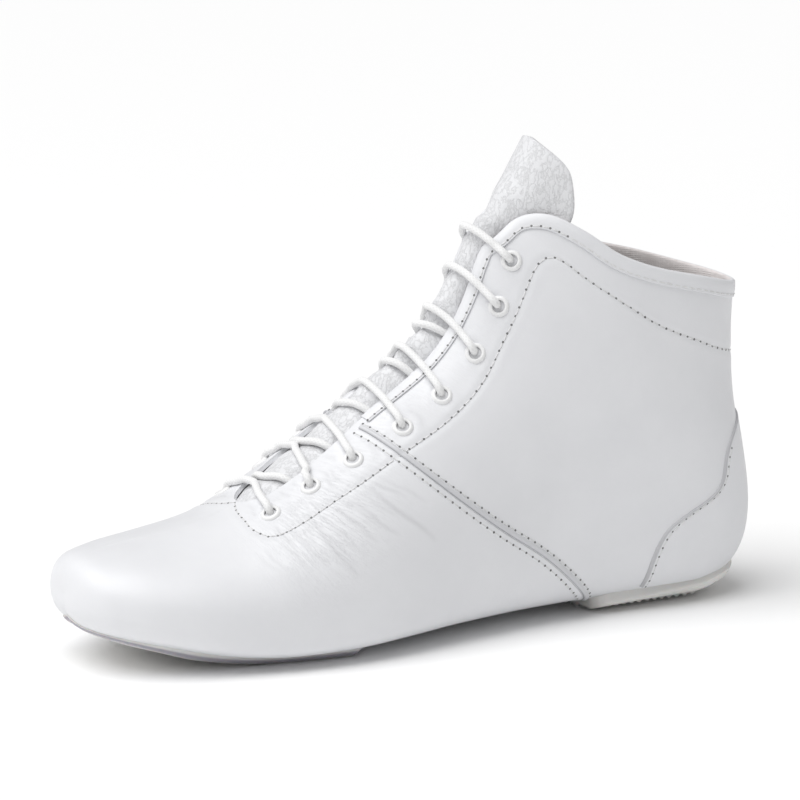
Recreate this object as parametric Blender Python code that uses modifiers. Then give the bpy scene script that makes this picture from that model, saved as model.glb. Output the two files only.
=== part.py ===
"""A white leather vaulting shoe for the right foot, standing empty on its two rubber outsoles.

Frame: toe towards -X, heel towards +X, medial side -Y, lateral side +Y, up +Z, floor at z = 0.
The tables below are in millimetres, and the meshes are made in metres.

One function, on_form, gives every curved piece its place. Its first argument, along, runs from 0 at
the toe's tip over the instep to 1 above the collar. Its second, around, runs from 0 at the bottom or
back centre line to 1 at the ridge in front, on the medial (-1) or the lateral (+1) side.
"""

import bmesh
import bpy
import numpy as np
from mathutils import Matrix, Vector

MM = 0.001
MEDIAL = -1
LATERAL = 1

# Driving dimensions
WALL = 1.5
GAP = 0.3
FOREFOOT_PATCH = 3.0
HEEL_PATCH = 4.0
INSOLE = 2.0
OVERLAY = 0.7
BINDING_WIDTH = 3.8
BINDING_LEATHER = 0.6
SEAM_WIDTH = 5.2
LASTING_MARGIN = 11.0
TONGUE_LEATHER = 1.6
EYELET_RADIUS = 3.7
EYELET_BORE = 1.9
EYELET_BARREL = 2.4
EYELET_HEIGHT = 0.8
LACE_RADIUS = 1.3
TOP_BAR_LIFT = 2.6
LACE_EDGE_GAP = 2.2
RUN_CLEARANCE = 0.85
FIRST_RUN = 3

# Sizes of cutters
UNDER_FLOOR = 5.0
SIDE_REACH = 75.0
ABOVE = 220.0
BEHIND = 142.0
BAND_REACH = 5.0
HOLE_DEPTH = 8.0

# Sections of the last, one row each, from the toe's tip to above the collar:
# base point x and z, ridge point x and z, medial and lateral half-widths, centre offset in y,
# belly (share of the way from base to ridge where it is widest), squareness at base and at ridge
SECTIONS = np.array([
    (-130.5, 25.0, -130.5, 25.0, 0.0, 0.0, -3.0, 0.48, 2.0, 2.0),
    (-128.0, 17.0, -128.0, 33.5, 13.5, 14.0, -3.0, 0.46, 2.3, 2.0),
    (-120.0, 12.4, -120.0, 37.8, 26.0, 26.5, -2.5, 0.42, 2.8, 2.1),
    (-104.0, 8.4, -104.0, 41.0, 37.4, 36.8, -1.0, 0.38, 3.8, 2.1),
    (-78.0, 3.5, -79.0, 45.0, 45.2, 43.8, 0.5, 0.34, 4.8, 2.1),
    (-43.0, 2.7, -55.0, 57.0, 48.4, 46.2, 1.0, 0.32, 5.4, 2.0),
    (-8.0, 3.2, -22.5, 79.5, 43.6, 43.2, 1.5, 0.33, 4.6, 1.9),
    (27.0, 3.5, 2.6, 97.0, 37.4, 39.0, 2.0, 0.35, 4.0, 1.9),
    (62.0, 3.8, 14.2, 113.2, 33.8, 36.0, 1.8, 0.37, 3.9, 1.9),
    (94.0, 3.7, 19.0, 124.8, 33.3, 34.5, 1.3, 0.39, 3.7, 1.9),
    (113.0, 5.4, 22.6, 133.4, 33.2, 33.0, 1.0, 0.41, 3.2, 1.9),
    (125.6, 14.6, 25.6, 139.4, 32.7, 32.0, 1.0, 0.43, 2.9, 1.9),
    (128.6, 41.0, 29.0, 143.2, 30.8, 30.0, 1.0, 0.45, 2.8, 1.9),
    (125.2, 65.0, 32.2, 146.3, 28.6, 28.0, 1.0, 0.47, 2.7, 1.9),
    (123.7, 91.0, 35.4, 149.5, 27.7, 27.0, 1.0, 0.50, 2.6, 1.9),
    (125.7, 114.0, 38.9, 153.3, 26.9, 26.4, 1.0, 0.52, 2.5, 1.9),
    (129.5, 142.0, 44.1, 168.6, 26.8, 26.5, 1.0, 0.54, 2.5, 1.9),
])
BASE_SHARE = 0.65
FINE = 220

# The throat: along, and half its width measured from the ridge
THROAT = np.array([
    (0.264, 1.2), (0.268, 4.2), (0.276, 7.0), (0.290, 9.6), (0.315, 11.6), (0.345, 12.4),
    (0.385, 11.6), (0.42, 10.6), (0.49, 9.8), (0.56, 9.2), (0.65, 8.4), (0.73, 7.8), (0.86, 7.6),
])
THROAT_ROUND = 6
THROAT_REACH = 9.0
BINDING_START = 0.413

# The collar's rim in the side view, from in front of the throat to behind the heel
RIM = np.array([
    (16.0, 130.0), (25.0, 132.6), (30.0, 136.8), (35.2, 141.2), (40.0, 142.9), (45.5, 142.7),
    (51.5, 139.9), (59.3, 135.0), (65.0, 130.7), (72.0, 127.2), (83.5, 123.2), (102.0, 118.6),
    (119.0, 114.0), (140.0, 110.0),
])
RIM_TILT = 0.05

# Eyelets from the top down: along, and the distance from the ridge
EYELETS = np.array([
    (0.711, 19.9), (0.646, 22.6), (0.561, 23.2), (0.491, 23.9),
    (0.433, 24.8), (0.375, 23.4), (0.329, 21.0), (0.278, 19.8),
])

# The raised seam: around, and along
SEAM = np.array([
    (0.895, 0.396), (0.762, 0.415), (0.646, 0.442), (0.525, 0.479),
    (0.43, 0.511), (0.353, 0.537), (0.26, 0.560), (0.182, 0.573),
])

# The counter's front edge in the side view, from its top down
COUNTER_EDGE = np.array([
    (136.0, 68.5), (126.0, 67.0), (119.0, 63.5), (113.0, 58.5), (109.6, 52.0), (108.4, 46.0),
    (105.8, 42.0), (96.0, 36.6), (89.6, 33.4), (84.4, 29.8), (81.0, 24.8), (78.8, 18.0), (77.5, 0.0),
])

# The forefoot patch's edge behind the ball, from its medial to its lateral corner
FOREFOOT_REAR = np.array([(-15.0, -11.0), (3.0, 15.0), (3.5, 25.0), (-5.0, 33.5)])
FOREFOOT_START = 0.02
FOREFOOT_MEDIAL_END = 0.322
FOREFOOT_LATERAL_END = 0.345
FOREFOOT_AROUND = 0.285
FOREFOOT_TOP = 24.0

# The heel patch: corners in plan, each with its radius, and its thickness along, thinner up the back
HEEL_CORNERS = ((60.5, -22.5, 6.0), (130.0, -23.0, 23.0), (130.0, 26.5, 23.0), (57.0, 28.0, 7.0))
HEEL_THICKNESS = np.array([(0.68, HEEL_PATCH), (0.70, 3.7), (0.72, 2.9), (0.74, 1.7)])
HEEL_TOP = 15.0

# The insole: its ends along, how far around it reaches, and its back edge in plan
INSOLE_START = 0.07
INSOLE_HEEL = 0.60
INSOLE_AROUND = 0.20
INSOLE_BACK = 114.0

# The tongue: along, depth of its face under the form, half its width, rise of its crest, and how far
# from the ridge the crest starts to rise
TONGUE = np.array([
    (0.236, 2.6, 16.0, 0.0, 10.0), (0.28, 4.2, 22.0, 1.0, 10.0), (0.36, 4.9, 27.0, 2.2, 10.0),
    (0.55, 4.9, 29.0, 2.5, 10.0), (0.66, 4.9, 30.0, 2.6, 10.0), (0.73, 4.9, 30.0, 2.9, 13.0),
    (0.80, 4.3, 30.0, 3.9, 18.0), (0.86, 3.6, 29.5, 4.8, 22.0), (0.91, 3.1, 28.5, 5.4, 24.0),
    (0.955, 2.2, 24.0, 4.0, 22.0), (0.985, 1.7, 16.0, 1.8, 16.0), (1.0, 1.5, 6.0, 0.6, 10.0),
])


def spline(knots, values, at):
    """A natural cubic spline through the rows of values at the knots, read at the places given."""
    steps = np.diff(knots)
    count = len(knots)
    matrix = np.eye(count)
    right = np.zeros_like(values)
    for i in range(1, count - 1):
        matrix[i, i - 1:i + 2] = steps[i - 1], 2 * (steps[i - 1] + steps[i]), steps[i]
        rise_before = (values[i] - values[i - 1]) / steps[i - 1]
        right[i] = 6 * ((values[i + 1] - values[i]) / steps[i] - rise_before)
    bend = np.linalg.solve(matrix, right)
    i = np.clip(np.searchsorted(knots, at, side="right") - 1, 0, count - 2)
    t = (at - knots[i])[:, None]
    step = steps[i][:, None]
    slope = (values[i + 1] - values[i]) / step - step * (2 * bend[i] + bend[i + 1]) / 6
    return values[i] + t * (slope + t * (bend[i] / 2 + t * (bend[i + 1] - bend[i]) / (6 * step)))


def smooth_line(points, count):
    """A smooth line of so many points through the points of a short table."""
    lengths = np.linalg.norm(np.diff(points, axis=0), axis=1)
    knots = np.concatenate([[0], np.cumsum(lengths)])
    return spline(knots, points, np.linspace(0, knots[-1], count))


def read_table(table, at):
    """The other columns of a table at places in its first column."""
    return spline(table[:, 0], table[:, 1:], np.atleast_1d(np.asarray(at, float)))


def section_rows(along):
    """The section table's columns at each place along; a row mirrored past the tip rounds the toe."""
    axis = np.stack([
        SECTIONS[:, 0] * BASE_SHARE + SECTIONS[:, 2] * (1 - BASE_SHARE),
        SECTIONS[:, 1] * BASE_SHARE + SECTIONS[:, 3] * (1 - BASE_SHARE),
        (SECTIONS[:, 4] + SECTIONS[:, 5]) / 2,
    ], axis=1)
    knots = np.concatenate([[0], np.cumsum(np.linalg.norm(np.diff(axis, axis=0), axis=1))])
    mirrored = SECTIONS[1].copy()
    mirrored[[1, 3]] = SECTIONS[1, [3, 1]]
    mirrored[4:6] *= -1
    return spline(
        np.concatenate([[-knots[1]], knots]),
        np.vstack([mirrored, SECTIONS]),
        np.asarray(along) * knots[-1],
    )


def section_curves(along, side):
    """Half-sections as fine lines from base to ridge, with the length run so far."""
    columns = section_rows(along).T[:, :, None]
    base_x, base_z, ridge_x, ridge_z, medial, lateral, centre, belly, base_square, ridge_square = columns
    angle = np.linspace(0, np.pi, FINE)[None, :]
    low = angle <= np.pi / 2
    power = np.where(low, 2 / base_square, 2 / ridge_square)
    width = np.maximum(medial if side == MEDIAL else lateral, 0)
    y = centre + side * width * np.abs(np.sin(angle)) ** power
    reach = np.abs(np.cos(angle)) ** power
    share = np.where(low, belly * (1 - reach), belly + (1 - belly) * reach)
    x = base_x + (ridge_x - base_x) * share
    z = base_z + (ridge_z - base_z) * share
    curves = np.stack(np.broadcast_arrays(x, y, z), axis=2)
    steps = np.linalg.norm(np.diff(curves, axis=1), axis=2)
    run = np.concatenate([np.zeros((len(steps), 1)), np.cumsum(steps, axis=1)], axis=1)
    return curves, run


def bare_form(along, around, side):
    curves, run = section_curves(along, side)
    wanted = around * run[:, -1]
    places = [
        [np.interp(wanted[i], run[i], curves[i, :, axis]) for axis in range(3)]
        for i in range(len(along))
    ]
    return np.array(places)


def form_normals(along, around, side):
    """Outward unit normals of the form."""
    small = 0.004
    near_tip = 0.0005
    before = bare_form(np.maximum(along - small, near_tip), around, side)
    after = bare_form(along + small, around, side)
    below = bare_form(np.maximum(along, near_tip), np.maximum(around - small, 0), side)
    above = bare_form(np.maximum(along, near_tip), np.minimum(around + small, 1), side)
    normals = side * np.cross(above - below, after - before)
    normals[(around <= 0) | (around >= 1), 1] = 0
    normals[along <= 0] = (-1, 0, 0)
    return normals / np.linalg.norm(normals, axis=1)[:, None]


def on_form(along, around, side, offset=0.0):
    """Points of the form, moved out along its normal by the offset."""
    along, around, offset = np.broadcast_arrays(
        np.atleast_1d(np.asarray(along, float)), np.asarray(around, float), np.asarray(offset, float)
    )
    return bare_form(along, around, side) + form_normals(along, around, side) * offset[:, None]


def around_at(along, from_ridge, side):
    """The around value at a distance from the ridge."""
    along = np.atleast_1d(np.asarray(along, float))
    return 1 - from_ridge / section_curves(along, side)[1][:, -1]


# Objects and collections

def clear_scene():
    for obj in list(bpy.data.objects):
        bpy.data.objects.remove(obj, do_unlink=True)


def new_collection(name):
    collection = bpy.data.collections.new(name)
    bpy.context.scene.collection.children.link(collection)
    return collection


def new_material(name, colour, roughness, metallic=0.0):
    material = bpy.data.materials.new(name)
    material.use_nodes = True
    shader = material.node_tree.nodes["Principled BSDF"]
    shader.inputs["Base Color"].default_value = (*colour, 1.0)
    shader.inputs["Roughness"].default_value = roughness
    shader.inputs["Metallic"].default_value = metallic
    return material


def object_from_bmesh(bm, name, material=None):
    """A mesh object of flat faces turned outwards; without a material it is a cutter."""
    bmesh.ops.triangulate(bm, faces=bm.faces)
    bmesh.ops.recalc_face_normals(bm, faces=bm.faces)
    if bm.calc_volume(signed=True) < 0:
        bmesh.ops.reverse_faces(bm, faces=bm.faces)
    mesh = bpy.data.meshes.new(name)
    bm.to_mesh(mesh)
    bm.free()
    return object_from_mesh(mesh, name, material)


def object_from_mesh(mesh, name, material=None):
    obj = bpy.data.objects.new(name, mesh)
    if material:
        PARTS.objects.link(obj)
        obj.data.materials.append(material)
        mesh.shade_smooth()
        mesh.set_sharp_from_angle(angle=0.6)
    else:
        CUTTERS.objects.link(obj)
        obj.hide_render = True
        obj.display_type = "WIRE"
    return obj


def boolean(obj, other, operation):
    modifier = obj.modifiers.new(f"{operation.lower()} {other.name}", "BOOLEAN")
    modifier.object = other
    modifier.operation = operation
    modifier.solver = "EXACT"
    return obj


# Forms that pieces are cut from

ALONG = np.concatenate([
    [0.0, 0.012, 0.032, 0.06, 0.10],
    np.linspace(0.145, 0.555, 9),
    np.linspace(0.589, 0.80, 8),
    [0.84, 0.89, 0.94, 1.0],
])
AROUND = np.array([0, 0.065, 0.135, 0.205, 0.27, 0.33, 0.40, 0.50, 0.61, 0.71, 0.79, 0.865, 0.935, 1])


def ring_grid(offset, floor):
    """Closed rings round the form at an offset, one for each place in ALONG, no lower than the floor."""
    columns = []
    for side, arounds in ((MEDIAL, AROUND[::-1]), (LATERAL, AROUND[1:-1])):
        for around in arounds:
            columns.append(on_form(ALONG, np.full(len(ALONG), around), side, offset))
    rings = np.stack(columns, axis=1)
    if floor is not None:
        rings[:, :, 2] = np.maximum(rings[:, :, 2], floor)
    return rings


def skin(bm, rings):
    """Faces from the toe's tip over the rings; returns the last ring's vertices."""
    tip = bm.verts.new(rings[0, 0] * MM)
    before = None
    for ring in rings[1:]:
        verts = [bm.verts.new(point * MM) for point in ring]
        for i, vert in enumerate(verts):
            following = verts[(i + 1) % len(verts)]
            if before is None:
                bm.faces.new((tip, vert, following))
            else:
                bm.faces.new((before[i], vert, following, before[(i + 1) % len(verts)]))
        before = verts
    return before


def shell(name, outer, inner, material=None, floor=None):
    """The form's wall between two offsets, from the toe to an open end above the collar."""
    bm = bmesh.new()
    outer_end = skin(bm, ring_grid(outer, floor))
    inner_end = skin(bm, ring_grid(inner, floor))
    for i in range(len(outer_end)):
        j = (i + 1) % len(outer_end)
        bm.faces.new((outer_end[i], outer_end[j], inner_end[j], inner_end[i]))
    return object_from_bmesh(bm, name, material)


def extruded(name, outline, vector):
    """A prism: a closed outline of 3-D points in millimetres, extruded by a vector."""
    bm = bmesh.new()
    face = bm.faces.new([bm.verts.new(np.asarray(point) * MM) for point in outline])
    made = bmesh.ops.extrude_face_region(bm, geom=[face])["geom"]
    verts = [item for item in made if isinstance(item, bmesh.types.BMVert)]
    bmesh.ops.translate(bm, verts=verts, vec=Vector(vector) * MM)
    return object_from_bmesh(bm, name)


def plan_prism(name, outline, top):
    """A prism over an outline in plan, from under the floor to a height."""
    return extruded(name, [(x, y, -UNDER_FLOOR) for x, y in outline], (0, 0, top + UNDER_FLOOR))


def loft(name, sections, material=None):
    """A closed body through sections that each have the same number of points."""
    bm = bmesh.new()
    rings = [[bm.verts.new(np.asarray(point) * MM) for point in section] for section in sections]
    count = len(rings[0])
    for before, after in zip(rings, rings[1:]):
        for i in range(count):
            j = (i + 1) % count
            bm.faces.new((before[i], before[j], after[j], after[i]))
    bm.faces.new(rings[0])
    bm.faces.new(rings[-1][::-1])
    return object_from_bmesh(bm, name, material)


def throat_cutter(name, grow, start):
    """The space of the throat, its edges moved out by so many millimetres, from a place along upwards."""
    straight = np.linspace(THROAT[THROAT_ROUND, 0], THROAT[-1, 0], 8)
    rows = np.concatenate([THROAT[:THROAT_ROUND, 0], straight])
    along = np.concatenate([[start], rows[rows > start]])
    half = read_table(THROAT, along)[:, 0] + grow
    corners = []
    for side in (MEDIAL, LATERAL):
        around = around_at(along, half, side)
        corners += [on_form(along, around, side, side * reach) for reach in (THROAT_REACH, -THROAT_REACH)]
    return loft(name, np.stack(corners, axis=1))


def collar_cutter(name, grow):
    """All that lies above the rim moved down by so many millimetres, higher on the lateral side."""
    line = smooth_line(RIM, 24)
    ahead = np.gradient(line, axis=0)
    down = np.stack([ahead[:, 1], -ahead[:, 0]], axis=1)
    line = line + grow * down / np.linalg.norm(down, axis=1)[:, None]
    outline = [(x, -SIDE_REACH, z - SIDE_REACH * RIM_TILT) for x, z in line]
    outline += [(line[-1, 0], -SIDE_REACH, ABOVE), (line[0, 0], -SIDE_REACH, ABOVE)]
    return extruded(name, outline, (0, 2 * SIDE_REACH, 2 * SIDE_REACH * RIM_TILT))


def rounded_outline(corners, steps=5):
    """A polygon whose corners (x, y, radius) are replaced by arcs."""
    outline = []
    for i, (x, y, radius) in enumerate(corners):
        corner = np.array([x, y])
        before = np.array(corners[i - 1][:2]) - corner
        after = np.array(corners[(i + 1) % len(corners)][:2]) - corner
        before /= np.linalg.norm(before)
        after /= np.linalg.norm(after)
        half = np.arccos(np.clip(before @ after, -1, 1)) / 2
        start = corner + before * radius / np.tan(half)
        end = corner + after * radius / np.tan(half)
        centre = corner + (before + after) / np.linalg.norm(before + after) * radius / np.sin(half)
        for t in np.linspace(0, 1, steps):
            spoke = (1 - t) * (start - centre) + t * (end - centre)
            outline.append(centre + spoke / np.linalg.norm(spoke) * radius)
    return np.array(outline)


def bottom_edge(along, around, side):
    """The plan of a line on the form's underside, drawn in to a round end at the toe."""
    tip_length = 0.075
    edge = on_form(along, around, side)[:, :2]
    centre = on_form(along, 0.0, side)[:, :2]
    share = np.clip((along - along[0]) / tip_length, 0, 1)
    round_end = np.sqrt(1 - (1 - share) ** 2)
    return centre + (edge - centre) * round_end[:, None]


def forefoot_outline():
    """The forefoot patch in plan: its edges follow the form, and its rear edge follows the table."""
    share = np.linspace(0, 1, 12) ** 1.6
    edges = []
    for end, side in ((FOREFOOT_MEDIAL_END, MEDIAL), (FOREFOOT_LATERAL_END, LATERAL)):
        along = FOREFOOT_START + (end - FOREFOOT_START) * share
        edges.append(bottom_edge(along, FOREFOOT_AROUND, side))
    rear = smooth_line(np.vstack([edges[0][-1], FOREFOOT_REAR, edges[1][-1]]), 12)
    return np.vstack([edges[0], rear[1:-1], edges[1][:0:-1]])


def drawn_in(outline, margin):
    """An outline made smaller by a margin on each side of its length and of its width."""
    low = outline.min(axis=0)
    high = outline.max(axis=0)
    middle = (low + high) / 2
    return middle + (outline - middle) * (1 - 2 * margin / (high - low))


def grown(outline, distance):
    """An outline moved outwards by a small distance."""
    ahead = np.roll(outline, -1, axis=0) - np.roll(outline, 1, axis=0)
    normals = np.stack([ahead[:, 1], -ahead[:, 0]], axis=1)
    normals /= np.linalg.norm(normals, axis=1)[:, None]
    area = np.sum(outline[:, 0] * np.roll(outline[:, 1], -1) - np.roll(outline[:, 0], -1) * outline[:, 1])
    return outline + np.sign(area) * distance * normals


# Parts

def make_upper(leather):
    """The hollow shell: vamp, quarters and arch in one wall."""
    upper = shell("upper", 0.0, -WALL, leather)
    boolean(upper, throat_cutter("throat", 0.0, THROAT[0, 0]), "DIFFERENCE")
    boolean(upper, collar_cutter("collar", 0.0), "DIFFERENCE")
    openings = (
        ("forefoot_opening", forefoot_outline(), FOREFOOT_TOP),
        ("heel_opening", rounded_outline(HEEL_CORNERS), HEEL_TOP),
    )
    for name, outline, top in openings:
        boolean(upper, plan_prism(name, drawn_in(outline, LASTING_MARGIN), top), "DIFFERENCE")
    boolean(upper, eyelet_holes(), "DIFFERENCE")
    return upper


def make_outsoles(rubber):
    forefoot = shell("forefoot_outsole", FOREFOOT_PATCH, GAP, rubber, floor=0.0)
    boolean(forefoot, plan_prism("forefoot_outline", forefoot_outline(), FOREFOOT_TOP), "INTERSECT")
    thickness = np.interp(ALONG, *HEEL_THICKNESS.T)
    heel = shell("heel_outsole", thickness, GAP, rubber, floor=0.0)
    boolean(heel, plan_prism("heel_outline", rounded_outline(HEEL_CORNERS), HEEL_TOP), "INTERSECT")


def make_insole(board):
    """A sheet on the bottom, round at the heel."""
    along = np.linspace(INSOLE_START, INSOLE_HEEL, 20)
    medial = bottom_edge(along, INSOLE_AROUND, MEDIAL)
    lateral = bottom_edge(along, INSOLE_AROUND, LATERAL)
    middle = (medial[-1] + lateral[-1]) / 2
    angle = np.linspace(0, np.pi, 11)[1:-1, None]
    heel = middle + (medial[-1] - middle) * np.cos(angle) + (INSOLE_BACK - middle[0], 0) * np.sin(angle)
    insole = shell("insole", -WALL - GAP, -WALL - GAP - INSOLE, board)
    outline = np.vstack([medial, heel, lateral[:0:-1]])
    boolean(insole, plan_prism("insole_outline", outline, FOREFOOT_TOP), "INTERSECT")


def make_counter(leather):
    line = smooth_line(COUNTER_EDGE, 17)
    outline = [(x, -SIDE_REACH, z) for x, z in line]
    outline += [(BEHIND, -SIDE_REACH, 0.0), (BEHIND, -SIDE_REACH, line[0, 1])]
    counter = shell("heel_counter", GAP + OVERLAY, GAP, leather)
    boolean(counter, extruded("counter_outline", outline, (0, 2 * SIDE_REACH, 0)), "INTERSECT")
    patch_space = grown(rounded_outline(HEEL_CORNERS), 2 * GAP)
    clear = plan_prism("heel_clear", patch_space, HEEL_TOP + 2 * GAP)
    boolean(counter, clear, "DIFFERENCE")


def make_binding(leather):
    """A strip along the rim and the throat's edges, down to the side seams."""
    binding = shell("collar_binding", GAP + BINDING_LEATHER, GAP, leather)
    boolean(binding, throat_cutter("binding_throat", 0.0, THROAT[0, 0]), "DIFFERENCE")
    boolean(binding, collar_cutter("binding_collar", 0.0), "DIFFERENCE")
    zone = collar_cutter("binding_zone", BINDING_WIDTH)
    boolean(zone, throat_cutter("binding_zone_throat", BINDING_WIDTH, BINDING_START), "UNION")
    boolean(binding, zone, "INTERSECT")


def make_seams(leather):
    """A raised band on each side, from the binding's end down to the heel patch."""
    around = np.linspace(SEAM[0, 0], SEAM[-1, 0], 10)
    order = np.argsort(SEAM[:, 0])
    along = read_table(SEAM[order], around)[:, 0]
    for side, word in ((MEDIAL, "medial"), (LATERAL, "lateral")):
        line = on_form(along, around, side)
        normals = form_normals(along, around, side)
        across = np.cross(normals, np.gradient(line, axis=0))
        across *= SEAM_WIDTH / 2 / np.linalg.norm(across, axis=1)[:, None]
        out = BAND_REACH * normals
        corners = [line - across - out, line - across + out, line + across + out, line + across - out]
        seam = shell(f"side_seam_{word}", GAP + OVERLAY, GAP, leather)
        boolean(seam, loft(f"seam_{word}_band", np.stack(corners, axis=1)), "INTERSECT")


def crest_rise(distance, rise, reach):
    """How far the tongue's face is lifted at a distance from the ridge."""
    return rise * (1 - np.minimum(distance / reach, 1) ** 2) ** 2


def make_tongue(leather):
    """A leather sheet under the throat, arched along the ridge, with a rounded tab above the collar."""
    across = np.array([-1, -0.62, -0.34, -0.17, 0, 0.17, 0.34, 0.62, 1])
    along = np.concatenate([np.linspace(TONGUE[0, 0], 0.94, 12), [0.965, 0.985, 1.0]])
    depth, half, rise, reach = read_table(TONGUE, along).T
    faces = []
    for under in (0.0, TONGUE_LEATHER):
        columns = []
        for share in across:
            side = MEDIAL if share < 0 else LATERAL
            distance = abs(share) * half
            around = around_at(along, distance, side)
            height = crest_rise(distance, rise, reach) - depth - under
            columns.append(on_form(along, np.minimum(around, 1.0), side, height))
        faces.append(np.stack(columns, axis=1))
    top, bottom = faces
    loft("tongue", np.concatenate([top, bottom[:, ::-1]], axis=1), leather)


def eyelet_frames():
    """Name and matrix of each eyelet, its Z axis along the form's normal."""
    for side, word in ((MEDIAL, "medial"), (LATERAL, "lateral")):
        for number, (along, from_ridge) in enumerate(EYELETS, start=1):
            around = around_at(along, from_ridge, side)
            place = Vector(on_form(along, around, side)[0] * MM)
            normal = Vector(form_normals(np.array([along]), around, side)[0])
            turn = Vector((0, 0, 1)).rotation_difference(normal).to_matrix().to_4x4()
            yield f"eyelet_{word}_{number}", Matrix.Translation(place) @ turn


def eyelet_holes():
    """Sixteen short six-sided prisms as one cutter, clear of the barrels."""
    bm = bmesh.new()
    radius = (EYELET_BARREL + GAP) / np.cos(np.pi / 6) * MM
    size = {"segments": 6, "radius1": radius, "radius2": radius, "depth": HOLE_DEPTH * MM}
    for _, frame in eyelet_frames():
        bmesh.ops.create_cone(bm, cap_ends=True, matrix=frame, **size)
    return object_from_bmesh(bm, "eyelet_holes")


def make_eyelets(metal):
    """Turned rings: a flange on the leather and a barrel through it."""
    top = GAP + EYELET_HEIGHT
    bottom = -WALL - GAP
    profile = (
        (EYELET_BORE, top), (EYELET_RADIUS, GAP), (EYELET_BARREL, GAP), (EYELET_BARREL, bottom),
        (EYELET_BORE, bottom),
    )
    for name, frame in eyelet_frames():
        mesh = bpy.data.meshes.new(name)
        points = [(radius * MM, 0, height * MM) for radius, height in profile]
        edges = [(i, (i + 1) % len(points)) for i in range(len(points))]
        mesh.from_pydata(points, edges, [])
        eyelet = object_from_mesh(mesh, name, metal)
        eyelet.matrix_world = frame
        screw = eyelet.modifiers.new("turn", "SCREW")
        screw.steps = screw.render_steps = 8
        screw.use_merge_vertices = True
        screw.merge_threshold = 0.00001


def cord(name, points, material=None):
    """A round cord along the points, as a mesh."""
    curve = bpy.data.curves.new(name, "CURVE")
    curve.dimensions = "3D"
    curve.bevel_depth = LACE_RADIUS * MM
    curve.bevel_resolution = 1
    curve.use_fill_caps = True
    line = curve.splines.new("POLY")
    line.points.add(len(points) - 1)
    for item, point in zip(line.points, points):
        item.co = (*(point * MM), 1.0)
    guide = bpy.data.objects.new(f"{name}_path", curve)
    CUTTERS.objects.link(guide)
    bpy.context.view_layer.update()
    mesh = bpy.data.meshes.new_from_object(guide.evaluated_get(bpy.context.evaluated_depsgraph_get()))
    bpy.data.objects.remove(guide)
    bm = bmesh.new()
    bm.from_mesh(mesh)
    bmesh.ops.remove_doubles(bm, verts=bm.verts, dist=0.000001)
    return object_from_bmesh(bm, name, material)


def over_ridge(along, across, height):
    """Points at signed distances across from the ridge, positive on the medial side."""
    points = []
    for place, distance, lift in zip(along, across, height):
        side = MEDIAL if distance >= 0 else LATERAL
        points.append(on_form(place, around_at(place, abs(distance), side), side, lift)[0])
    return np.array(points)


def make_lace(cotton):
    """Straight bars between opposite eyelets, and the slanting runs that lead from bar to bar inside."""
    over = 2 * GAP + EYELET_HEIGHT + LACE_RADIUS
    share = np.linspace(1, -1, 7)[:, None]
    for number, (along, from_ridge) in enumerate(EYELETS, start=1):
        edge = read_table(THROAT, along)[0, 0]
        across = np.array([from_ridge, (from_ridge + edge) / 2, edge])
        near = over_ridge(np.full(3, along), across, np.full(3, over))
        far = over_ridge(np.full(3, along), -across[::-1], np.full(3, over))
        straight = (near[2] + far[0]) / 2 + share * (near[2] - far[0]) / 2
        if number == 1:
            ahead = form_normals(np.array([along]), np.array([1.0]), MEDIAL)
            straight = straight + TOP_BAR_LIFT * (1 - share ** 2) * ahead
        cord(f"lace_bar_{number}", np.vstack([near[:2], straight, far[1:]]), cotton)
    share = np.linspace(1, -1, 5)
    for number in range(FIRST_RUN, len(EYELETS)):
        upper, lower = EYELETS[number - 1:number + 1]
        middle = (upper + lower) / 2
        reach = read_table(THROAT, middle[0])[0, 0] - LACE_EDGE_GAP
        along = middle[0] + share * (upper[0] - lower[0]) / 2 * reach / middle[1]
        depth, _, rise, crest = read_table(TONGUE, along).T
        face = crest_rise(abs(share) * reach, rise, crest) - depth
        run = over_ridge(along, share * reach, face + RUN_CLEARANCE + LACE_RADIUS)
        cord(f"lace_run_{number}", run, cotton)


clear_scene()
PARTS = new_collection("vaulting_shoe")
CUTTERS = new_collection("cutters")
white_leather = new_material("white_leather", (0.86, 0.86, 0.87), 0.42)
tongue_leather = new_material("tongue_leather", (0.82, 0.82, 0.83), 0.5)
white_rubber = new_material("white_rubber", (0.78, 0.77, 0.75), 0.65)
insole_board = new_material("insole_board", (0.55, 0.54, 0.52), 0.85)
white_enamel = new_material("white_enamel", (0.88, 0.88, 0.88), 0.3, 0.2)
white_cotton = new_material("white_cotton", (0.88, 0.88, 0.88), 0.8)
make_upper(white_leather)
make_outsoles(white_rubber)
make_insole(insole_board)
make_tongue(tongue_leather)
make_counter(white_leather)
make_binding(white_leather)
make_seams(white_leather)
make_eyelets(white_enamel)
make_lace(white_cotton)
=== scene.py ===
"""The looks of the vaulting shoe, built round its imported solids.

The tables are in millimetres and the meshes in metres. Toe towards -X, heel +X, medial side -Y, up +Z.
A place on the leather is given by along (0 at the toe's tip, 1 above the collar), around (0 at the bottom
or back centre line, 1 at the ridge in front) and side. Some tables give the distance from the ridge in
place of around.
"""

import math

import bpy
import numpy as np
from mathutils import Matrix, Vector
from mathutils.bvhtree import BVHTree


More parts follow.
